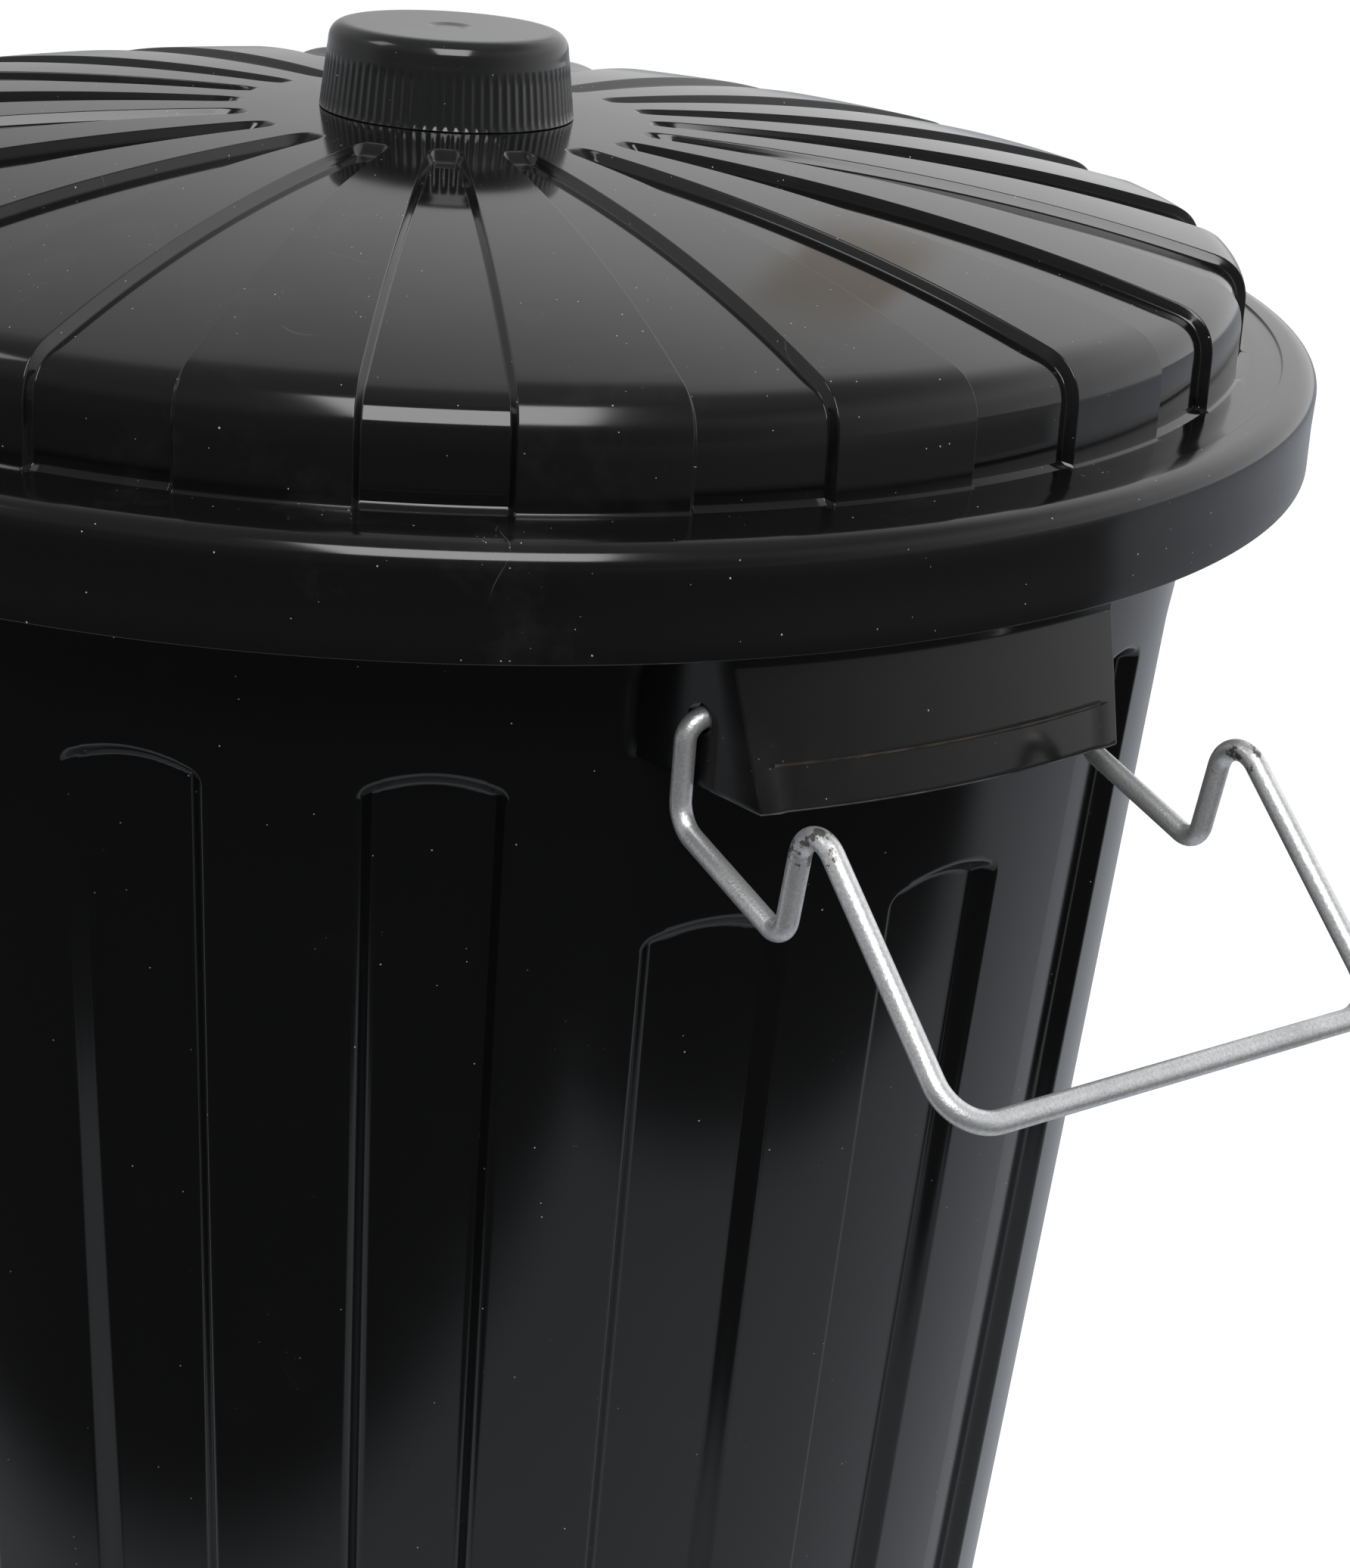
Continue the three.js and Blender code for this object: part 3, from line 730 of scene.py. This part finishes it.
# Where a pattern's value begins a change and where it ends it
GLOSS_RANGE, HAZE_RANGE, CROWD_RANGE = (0.32, 0.68), (0.56, 0.74), (0.60, 0.63)
SCRATCH_RANGE, SCRATCHED_RANGE = (0.0035, 0.0012), (0.62, 0.66)
# The first pair below breaks the painted edge highlights into patches and varies their gloss
HIGHLIGHT_RANGE, HIGHLIGHT_GLOSS_RANGE = (0.35, 0.65), (0.3, 0.7)
ZINC_RANGE, ZINC_GLOSS_RANGE, SCUFF_RANGE = (0.34, 0.66), (0.3, 0.7), (0.54, 0.57)

# Specks: share of the pattern's cells with one, smallest and largest radius in cells
COARSE_SPECK_SHARE, COARSE_SPECK_SHARE_DUSTY, COARSE_SPECK_SIZES = 0.08, 0.4, (0.02, 0.072)
FINE_SPECK_SHARE, FINE_SPECK_SIZES = 0.3, (0.05, 0.13)

PLASTIC_IOR = 1.49
HAZE_COLOR, HAZE_SHARE = (0.030, 0.029, 0.028), 0.35
SCRATCH_COLOR, SCRATCH_SHARE = (0.10, 0.098, 0.094), 0.6
DUST_COLOR, DUST_ROUGHNESS = (0.45, 0.44, 0.42), 0.6
RIPPLE_STRENGTH, RIPPLE_DEPTH = 0.03, 0.001
ZINC_DARK, ZINC_LIGHT, ZINC_METALLIC = (0.60, 0.605, 0.615), (0.87, 0.875, 0.885), 0.8
ZINC_ROUGHEST, ZINC_SMOOTHEST = 0.46, 0.32
GRAIN_STRENGTH, GRAIN_DEPTH = 0.3, 0.0003
SCUFF_COLOR, SCUFF_SHARE, SCUFF_REACH = (0.10, 0.085, 0.07), 0.85, 0.026

# Base colour, smallest and largest roughness, and how dusty and scratched, up to 1
PLASTICS = {
    "body_plastic": ((0.0038, 0.0040, 0.0043), 0.10, 0.15, 0.15),
    "lid_plastic": ((0.0045, 0.0046, 0.0048), 0.10, 0.16, 1.0),
    "recess_plastic": ((0.0040, 0.0041, 0.0043), 0.06, 0.09, 0.6),
    "knob_plastic": ((0.0130, 0.0135, 0.0140), 0.13, 0.19, 0.4),
    "bracket_plastic": ((0.0036, 0.0038, 0.0042), 0.11, 0.15, 0.6),
}

# Colour and roughness of the painted highlights on thin edges: pale on the bracket's lower edge
# and on the knob ribs' lower ends, warm on the step over the bracket's strip
PAINTED_HIGHLIGHT_EDGES = {
    "pale_highlight_edge": ((0.085, 0.087, 0.092), 0.4),
    "warm_highlight_edge": ((0.105, 0.085, 0.062), 0.5),
}


def node_material(name):
    """A new material, its node tree and its Principled shader."""
    material = bpy.data.materials.new(name)
    material.use_nodes = True
    tree = material.node_tree
    return material, tree, tree.nodes["Principled BSDF"]


def math_node(tree, operation, a, b=None, c=None):
    """The result of a Math node on numbers or sockets."""
    made = tree.nodes.new("ShaderNodeMath")
    made.operation = operation
    for socket, value in zip(made.inputs, (a, b, c)):
        if isinstance(value, (int, float)):
            socket.default_value = value
        elif value is not None:
            tree.links.new(value, socket)
    return made.outputs[0]


def ramp(tree, value, low, high, from_value=0.0, to_value=1.0):
    """A value between low and high mapped straight to another pair, and held beyond it."""
    made = tree.nodes.new("ShaderNodeMapRange")
    made.inputs["From Min"].default_value = low
    made.inputs["From Max"].default_value = high
    made.inputs["To Min"].default_value = from_value
    made.inputs["To Max"].default_value = to_value
    tree.links.new(value, made.inputs["Value"])
    return made.outputs[0]


def texture(tree, kind, scale, **settings):
    """A procedural texture in the object's own coordinates, in metres."""
    made = tree.nodes.new(kind)
    made.inputs["Scale"].default_value = scale
    for key, value in settings.items():
        made.inputs[key].default_value = value
    coord = tree.nodes.new("ShaderNodeTexCoord")
    tree.links.new(coord.outputs["Object"], made.inputs["Vector"])
    return made


def noise(tree, scale, **settings):
    """A noise pattern's value."""
    return texture(tree, "ShaderNodeTexNoise", scale, **settings).outputs["Fac"]


def relief(tree, shader, height, strength, depth):
    """Gives a surface a fine relief by a pattern's value."""
    bump = tree.nodes.new("ShaderNodeBump")
    bump.inputs["Strength"].default_value = strength
    bump.inputs["Distance"].default_value = depth
    tree.links.new(height, bump.inputs["Height"])
    tree.links.new(bump.outputs["Normal"], shader.inputs["Normal"])


def blend_color(tree, factor, color_a, color_b):
    """A mix of two colours, each a tuple or a socket."""
    mix = tree.nodes.new("ShaderNodeMix")
    mix.data_type = "RGBA"
    for name, value in (("Factor", factor), ("A", color_a), ("B", color_b)):
        if isinstance(value, tuple):
            mix.inputs[name].default_value = (*value, 1)
        else:
            tree.links.new(value, mix.inputs[name])
    return mix.outputs["Result"]


def specks(tree, cells, share, smallest, largest):
    """Round specks of several sizes, in a share of the cells of a loose pattern."""
    dust = texture(tree, "ShaderNodeTexVoronoi", cells)
    parts = tree.nodes.new("ShaderNodeSeparateColor")
    tree.links.new(dust.outputs["Color"], parts.inputs[0])
    size = ramp(tree, parts.outputs[1], 0.0, 1.0, smallest, largest)
    near = math_node(tree, "LESS_THAN", dust.outputs["Distance"], size)
    chosen = math_node(tree, "LESS_THAN", parts.outputs[0], share)
    return math_node(tree, "MULTIPLY", near, chosen)


def plastic(name, base, smoothest, roughest, dusty):
    """Black moulded plastic: a little uneven in gloss, with faint ripples from the mould,
    white dust specks, smeared dust and hairline scratches."""
    material, tree, shader = node_material(name)
    links = tree.links
    shader.inputs["IOR"].default_value = PLASTIC_IOR
    haze = noise(tree, HAZE_PATCHES, Detail=6.0, Roughness=0.65)
    hazy = ramp(tree, haze, *HAZE_RANGE, 0.0, HAZE_SHARE * dusty)
    color = blend_color(tree, hazy, base, HAZE_COLOR)
    lines = noise(tree, SCRATCH_LINES, Detail=0.0, Distortion=1.2)
    off_line = math_node(tree, "ABSOLUTE", math_node(tree, "SUBTRACT", lines, 0.5))
    where = noise(tree, SCRATCHED_PATCHES, Detail=2.0)
    patches = ramp(tree, where, *SCRATCHED_RANGE, 0.0, SCRATCH_SHARE * dusty ** 2)
    scratched = math_node(tree, "MULTIPLY", ramp(tree, off_line, *SCRATCH_RANGE), patches)
    color = blend_color(tree, scratched, color, SCRATCH_COLOR)
    share = COARSE_SPECK_SHARE + COARSE_SPECK_SHARE_DUSTY * dusty
    coarse = specks(tree, COARSE_DUST, share, *COARSE_SPECK_SIZES)
    fine = specks(tree, FINE_DUST, FINE_SPECK_SHARE, *FINE_SPECK_SIZES)
    crowd = math_node(tree, "MULTIPLY", fine, ramp(tree, haze, *CROWD_RANGE, 0.0, dusty))
    dust = math_node(tree, "MAXIMUM", coarse, crowd)
    links.new(blend_color(tree, dust, color, DUST_COLOR), shader.inputs["Base Color"])
    gloss = noise(tree, GLOSS_PATCHES, Detail=4.0)
    rough = ramp(tree, gloss, *GLOSS_RANGE, smoothest, roughest)
    rough = math_node(tree, "ADD", rough, math_node(tree, "MULTIPLY", dust, DUST_ROUGHNESS))
    links.new(rough, shader.inputs["Roughness"])
    relief(tree, shader, noise(tree, RIPPLES, Detail=1.0), RIPPLE_STRENGTH, RIPPLE_DEPTH)
    return material


def painted_highlight_edge(name, color, roughness):
    """A painted highlight for a thin edge: plastic coloured pale or warm where the edge catches
    light, in broken patches.
    """
    material, tree, shader = node_material(name)
    shader.inputs["IOR"].default_value = PLASTIC_IOR
    broken_highlight = noise(tree, HIGHLIGHT_PATCHES, Detail=4.0)
    dark = tuple(0.3 * share for share in color)
    amount = ramp(tree, broken_highlight, *HIGHLIGHT_RANGE)
    tree.links.new(blend_color(tree, amount, dark, color), shader.inputs["Base Color"])
    rough = ramp(tree, broken_highlight, *HIGHLIGHT_GLOSS_RANGE, roughness * 0.8, roughness)
    tree.links.new(rough, shader.inputs["Roughness"])
    return material


def near_point(tree, centre, reach):
    """1 at a place in the object's coordinates, falling to 0 at a distance from it."""
    coord = tree.nodes.new("ShaderNodeTexCoord")
    gap = tree.nodes.new("ShaderNodeVectorMath")
    gap.operation = "DISTANCE"
    gap.inputs[1].default_value = centre
    tree.links.new(coord.outputs["Object"], gap.inputs[0])
    return ramp(tree, gap.outputs["Value"], reach, reach * 0.5)


def zinc(name, rubbed):
    """Satin zinc on steel wire, granular, with dark scuffs where it rubs on the lid."""
    material, tree, shader = node_material(name)
    links = tree.links
    shader.inputs["Metallic"].default_value = ZINC_METALLIC
    grain = noise(tree, ZINC_GRAIN, Detail=2.0)
    clouds = noise(tree, ZINC_CLOUDS, Detail=4.0)
    both = math_node(tree, "MULTIPLY_ADD", grain, 0.6, math_node(tree, "MULTIPLY", clouds, 0.4))
    color = blend_color(tree, ramp(tree, both, *ZINC_RANGE), ZINC_DARK, ZINC_LIGHT)
    near = None
    for centre in rubbed:
        here = near_point(tree, centre, SCUFF_REACH)
        near = here if near is None else math_node(tree, "MAXIMUM", near, here)
    scuffs = noise(tree, SCUFFS, Detail=5.0, Roughness=0.7)
    scuffed = ramp(tree, math_node(tree, "MULTIPLY", near, scuffs), *SCUFF_RANGE, 0.0, SCUFF_SHARE)
    links.new(blend_color(tree, scuffed, color, SCUFF_COLOR), shader.inputs["Base Color"])
    rough = ramp(tree, both, *ZINC_GLOSS_RANGE, ZINC_ROUGHEST, ZINC_SMOOTHEST)
    links.new(rough, shader.inputs["Roughness"])
    relief(tree, shader, grain, GRAIN_STRENGTH, GRAIN_DEPTH)
    return material


# ---- The dressed part ----

# Heights of the painted highlight bands: on the bracket's lower edge, on the step over its strip
# and on the knob ribs' lower ends
PALE_HIGHLIGHT_EDGE_HEIGHT, WARM_HIGHLIGHT_STEP_HEIGHT, PALE_HIGHLIGHT_RIB_HEIGHT = 0.6, 0.3, 0.55


def paint(obj, materials, choose):
    """Gives each face one of the materials, by a rule on its middle in millimetres."""
    for material in materials:
        obj.data.materials.append(material)
    for face in obj.data.polygons:
        face.material_index = choose(face.center / MM)


def lid_face(centre):
    """0, or 1 on the sunk sectors, which are moulded glossier than the raised ones."""
    radius = math.hypot(centre.x, centre.y)
    if radius > DOME_FOOT + 1 or radius < SECTOR_TIP_RADIUS:
        return 0
    azimuth = math.degrees(math.atan2(centre.y, centre.x)) - LID_TURN
    offset = azimuth % SECTOR_STEP - SECTOR_STEP / 2
    return 1 if float(sector_sunk(radius, offset)) > 0.5 else 0


def bracket_face(centre):
    """0, or 1 along the lower edge, painted pale as a highlight, or 2 along the step over the
    strip, painted warm as a highlight.
    """
    reach = math.hypot(centre.x, centre.y)
    if reach < RIM_RADIUS - 2 and abs(centre.x) < RIM_RADIUS - 2:
        return 0
    # The bracket's lowest band is painted pale as a highlight
    if centre.z < BRACKET_LEVEL + PALE_HIGHLIGHT_EDGE_HEIGHT:
        return 1
    # The step over the strip is painted warm as a highlight
    on_step = abs(centre.z - BRACKET_LEVEL - STRIP_HEIGHT) < WARM_HIGHLIGHT_STEP_HEIGHT
    on_front = abs(centre.y) < bracket_half(BRACKET_FOOT) - STRIP_MARGIN
    return 2 if on_step and on_front else 0


def knob_face(centre):
    """0, or 1 on the ribs' lower ends, painted pale as the highlight that their bevelled edges
    catch.
    """
    # The ribs' lowest band is painted pale as a highlight
    low = centre.z < PAD_LEVEL + KNOB_SEAT + PALE_HIGHLIGHT_RIB_HEIGHT
    outside = math.hypot(centre.x, centre.y) > KNOB_FOOT_RADIUS - 0.3
    return 1 if low and outside else 0


def dress():
    """Makes every piece, gives it its materials and puts it on its body."""
    plastics = {name: plastic(name, *looks) for name, looks in PLASTICS.items()}
    # The materials of the painted edge highlights, pale and warm
    edges = {name: painted_highlight_edge(name, *looks) for name, looks in PAINTED_HIGHLIGHT_EDGES.items()}
    wire = {}
    peak_radius, peak_level, side = hook_peak()
    for sign, name in ((1, "right"), (-1, "left")):
        rubbed = [Vector((sign * peak_radius, y, peak_level)) * MM for y in (-side, side)]
        wire[name] = zinc("zinc_" + name, rubbed)
    bucket = make_bucket()
    lid = make_lid()
    knob = make_knob()
    # The ribs' lower ends get the pale painted highlight
    paint(knob, (plastics["knob_plastic"], edges["pale_highlight_edge"]), knob_face)
    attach(knob, "lid")
    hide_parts("lid_knob")
    for obj, body, node, material in [
        (bucket, "bin", "bin_body", plastics["body_plastic"]),
        (make_handle("wire_right", 0), "handle_right", "handle_right", wire["right"]),
        (make_handle("wire_left", 180), "handle_left", "handle_left", wire["left"]),
    ]:
        obj.data.materials.append(material)
        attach(obj, body)
        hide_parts(node)
    paint(lid, (plastics["lid_plastic"], plastics["recess_plastic"]), lid_face)
    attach(lid, "lid")
    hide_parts("lid")
    for bracket in (make_bracket("bracket_right", 0), make_bracket("bracket_left", 180)):
        bracket.data.materials.clear()
        # The bracket's lower edge and the step over its strip get the painted highlights
        paint(bracket, (plastics["bracket_plastic"], *edges.values()), bracket_face)
        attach(bracket, "bin")


# ---- Camera: its place is in units of CAMERA_SCALE from the middle of the lid's band ----

CAMERA_DISTANCE, CAMERA_HEIGHT = 2.9354, 0.6679
CAMERA_YAW, CAMERA_PITCH, CAMERA_ROLL = 0.1074, 0.4189, 0.0771
CAMERA_SCALE = 250.0
CAMERA_TURN = 62.4
PHOTO_HEIGHT, PHOTO_FOCAL = 2072.0, 3362.3
SENSOR_WIDTH = 36.0


def make_camera():
    """The camera at the photograph's place, aim and focal length."""
    sin_yaw, cos_yaw = math.sin(CAMERA_YAW), math.cos(CAMERA_YAW)
    sin_pitch, cos_pitch = math.sin(CAMERA_PITCH), math.cos(CAMERA_PITCH)
    sin_roll, cos_roll = math.sin(CAMERA_ROLL), math.cos(CAMERA_ROLL)
    forward = np.array([sin_yaw * cos_pitch, cos_yaw * cos_pitch, -sin_pitch])
    right = np.array([cos_yaw, -sin_yaw, 0])
    up = np.cross(right, forward)
    right, up = cos_roll * right + sin_roll * up, cos_roll * up - sin_roll * right
    turn = np.array(Matrix.Rotation(math.radians(CAMERA_TURN), 3, "Z"))
    place = turn @ (np.array([0, -CAMERA_DISTANCE, CAMERA_HEIGHT]) * CAMERA_SCALE)
    matrix = Matrix.Identity(4)
    for i, axis in enumerate((right, up, -forward)):
        for k, part in enumerate(turn @ axis):
            matrix[k][i] = part
    matrix.translation = Vector((place + np.array([0, 0, BAND_LEVEL])) * MM)
    data = bpy.data.cameras.new("camera")
    data.sensor_width = SENSOR_WIDTH
    data.lens = SENSOR_WIDTH * PHOTO_FOCAL / PHOTO_HEIGHT
    data.clip_start, data.clip_end = 0.02, 50
    camera = bpy.data.objects.new("camera", data)
    camera.matrix_world = matrix
    bpy.context.scene.collection.objects.link(camera)
    bpy.context.scene.camera = camera


# ---- Studio ----

# The camera's side of the bin, where directions over the floor start, in degrees from X.
# They turn to the camera's right.
CAMERA_SIDE = -27.6

# The floor, in metres towards the camera's side and to its right, and light levels
FLOOR_HALF_SIZE = 12.0
FLOOR_COLOR, FLOOR_GLOW = 0.8, 0.72
TABLE_CORNER = (0.775, 0.30)
TABLE_SLOPES = (0.66, 0.95)
TABLE_EDGE, TABLE_BACK = (-0.07, 0.05), (0.25, 0.05)
TABLE_LIGHT = (0.435, 0.455, 0.49)
DARK_ROOM = 0.045
FAR_DISTANCES, FAR_TURNS, FAR_LIGHTS = (1.0, 4.5), (0.1, 0.9), (0.06, 0.26)

# The room: directions in degrees, how near a direction has to be as a cosine, light levels
BACKDROP, BACKDROP_RANGE, BACKDROP_LIGHT, BACKDROP_LEAST = 128.0, (-0.4, 1.0), 1.08, 0.12
SIDE_WALL, SIDE_WALL_RANGE, SIDE_WALL_LIGHT = -110.0, (0.6, 0.95), 0.3
WALL_TOP, ABOVE_WALL = (24.0, 58.0), 0.08
CEILING, CEILING_LIGHT = (15.0, 50.0), 0.21
WARM_PANEL, WARM_PANEL_EDGE = 167.0, (0.9990, 0.9996)
WARM_PANEL_FOOT, WARM_PANEL_TOP = (18.0, 20.0), (31.0, 28.0)
WARM_COLOR = (0.74, 0.66, 0.58)

# Name, turn, elevation, distance, width and height in metres, and radiance
SOFT_BOXES = [
    ("front_box", 4.5, 48, 1.6, 0.78, 1.12, 7.0),
    ("left_box", -86, 45, 1.6, 0.42, 0.5, 3.0),
]
SOFT_BOX_AIM = 0.62


def facing(turned):
    """Unit vector over the floor at an angle from the camera's side."""
    angle = math.radians(CAMERA_SIDE + turned)
    return Vector((math.cos(angle), math.sin(angle), 0))


def dot(tree, vector, direction):
    """How far a vector socket reaches along a direction."""
    made = tree.nodes.new("ShaderNodeVectorMath")
    made.operation = "DOT_PRODUCT"
    made.inputs[1].default_value = direction
    tree.links.new(vector, made.inputs[0])
    return made.outputs["Value"]


def eased(tree, value, low, high, from_value=0.0, to_value=1.0):
    """As ramp, but level at both ends."""
    result = ramp(tree, value, low, high, from_value, to_value)
    result.node.interpolation_type = "SMOOTHSTEP"
    return result


def make_floor():
    """A plain pale floor. Mirrored, it shows as a table whose corner points at the camera,
    with the unlit room beyond it."""
    corners = np.array([[-1, -1, 0], [1, -1, 0], [1, 1, 0], [-1, 1, 0]])
    floor = new_object("floor", corners * FLOOR_HALF_SIZE / MM, [[0, 1, 2, 3]])
    material, tree, shader = node_material("pale_floor")
    links = tree.links
    shader.inputs["Base Color"].default_value = (FLOOR_COLOR, FLOOR_COLOR, FLOOR_COLOR, 1)
    shader.inputs["Roughness"].default_value = 1.0
    shader.inputs["Specular IOR Level"].default_value = 0.0
    shader.inputs["Emission Color"].default_value = (1, 1, 1, 1)
    path = tree.nodes.new("ShaderNodeLightPath")
    seen = math_node(tree, "MULTIPLY", path.outputs["Is Camera Ray"], FLOOR_GLOW)
    links.new(seen, shader.inputs["Emission Strength"])
    place = tree.nodes.new("ShaderNodeNewGeometry").outputs["Position"]
    ahead, aside = dot(tree, place, facing(0)), dot(tree, place, facing(90))
    off = math_node(tree, "SUBTRACT", aside, TABLE_CORNER[1])
    left = math_node(tree, "MULTIPLY_ADD", off, TABLE_SLOPES[0], TABLE_CORNER[0])
    right = math_node(tree, "MULTIPLY_ADD", off, -TABLE_SLOPES[1], TABLE_CORNER[0])
    inside = math_node(tree, "SUBTRACT", math_node(tree, "MINIMUM", left, right), ahead)
    on_table = eased(tree, inside, *TABLE_EDGE)
    behind = eased(tree, ahead, *TABLE_BACK)
    shown = math_node(tree, "MAXIMUM", on_table, behind)
    away = tree.nodes.new("ShaderNodeVectorMath")
    away.operation = "LENGTH"
    links.new(place, away.inputs[0])
    distance = away.outputs["Value"]
    rightward = math_node(tree, "DIVIDE", aside, distance)
    horizon = eased(tree, rightward, *FAR_TURNS, *FAR_LIGHTS)
    beyond = eased(tree, distance, *FAR_DISTANCES)
    far = math_node(tree, "MULTIPLY_ADD", beyond, horizon, DARK_ROOM)
    glow = tree.nodes.new("ShaderNodeEmission")
    links.new(blend_color(tree, shown, far, TABLE_LIGHT), glow.inputs["Color"])
    both = tree.nodes.new("ShaderNodeMixShader")
    links.new(path.outputs["Is Glossy Ray"], both.inputs["Fac"])
    links.new(shader.outputs[0], both.inputs[1])
    links.new(glow.outputs[0], both.inputs[2])
    links.new(both.outputs[0], tree.nodes["Material Output"].inputs["Surface"])
    floor.data.materials.append(material)


def area(name, turned, elevation, distance, width, height, radiance):
    """A soft box that faces the top of the bin, of a plain radiance."""
    data = bpy.data.lights.new(name, "AREA")
    data.shape = "RECTANGLE"
    data.size, data.size_y = width, height
    data.energy = radiance * math.pi * width * height
    rise = math.radians(elevation)
    away = facing(turned) * math.cos(rise) + Vector((0, 0, math.sin(rise)))
    lamp = bpy.data.objects.new(name, data)
    lamp.location = Vector((0, 0, SOFT_BOX_AIM)) + away * distance
    lamp.rotation_mode = "QUATERNION"
    lamp.rotation_quaternion = (-away).to_track_quat("-Z", "Y")
    bpy.context.scene.collection.objects.link(lamp)


def make_world():
    """White for the camera. Otherwise a studio: a backdrop that is brightest behind the bin
    to the right, a weak side light on the left, a dim ceiling, a dark front and one warm
    panel behind the bin."""
    world = bpy.data.worlds.new("studio")
    bpy.context.scene.world = world
    world.use_nodes = True
    tree = world.node_tree
    links = tree.links
    background = tree.nodes["Background"]
    way = tree.nodes.new("ShaderNodeTexCoord").outputs["Generated"]
    up = dot(tree, way, (0, 0, 1))
    level_part = math_node(tree, "SUBTRACT", 1.0, math_node(tree, "MULTIPLY", up, up))
    flat = math_node(tree, "MAXIMUM", math_node(tree, "SQRT", level_part), 0.001)
    height = math_node(tree, "MULTIPLY", math_node(tree, "ARCSINE", up), 180 / math.pi)

    def toward(turned):
        return math_node(tree, "DIVIDE", dot(tree, way, facing(turned)), flat)

    near = ramp(tree, toward(BACKDROP), *BACKDROP_RANGE)
    squared = math_node(tree, "MULTIPLY", near, near)
    wall = math_node(tree, "MULTIPLY_ADD", squared, BACKDROP_LIGHT, BACKDROP_LEAST)
    side = eased(tree, toward(SIDE_WALL), *SIDE_WALL_RANGE, 0, SIDE_WALL_LIGHT)
    wall = math_node(tree, "ADD", wall, side)
    wall = math_node(tree, "MULTIPLY", wall, eased(tree, height, *WALL_TOP, 1, ABOVE_WALL))
    level = math_node(tree, "ADD", wall, eased(tree, height, *CEILING, 0, CEILING_LIGHT))
    seen = tree.nodes.new("ShaderNodeLightPath").outputs["Is Camera Ray"]
    unseen = math_node(tree, "SUBTRACT", 1.0, seen)
    panel = math_node(tree, "MULTIPLY", eased(tree, toward(WARM_PANEL), *WARM_PANEL_EDGE),
                      eased(tree, height, *WARM_PANEL_FOOT))
    panel = math_node(tree, "MULTIPLY", panel, eased(tree, height, *WARM_PANEL_TOP))
    panel = math_node(tree, "MULTIPLY", panel, unseen)
    links.new(blend_color(tree, panel, (1.0, 1.0, 1.0), WARM_COLOR), background.inputs["Color"])
    rest = math_node(tree, "MULTIPLY", level, unseen)
    links.new(math_node(tree, "ADD", rest, seen), background.inputs["Strength"])


def light():
    """The soft boxes."""
    for box in SOFT_BOXES:
        area(*box)


dress()
make_camera()
make_floor()
make_world()
light()

scene = bpy.context.scene
scene.view_settings.view_transform = "Standard"
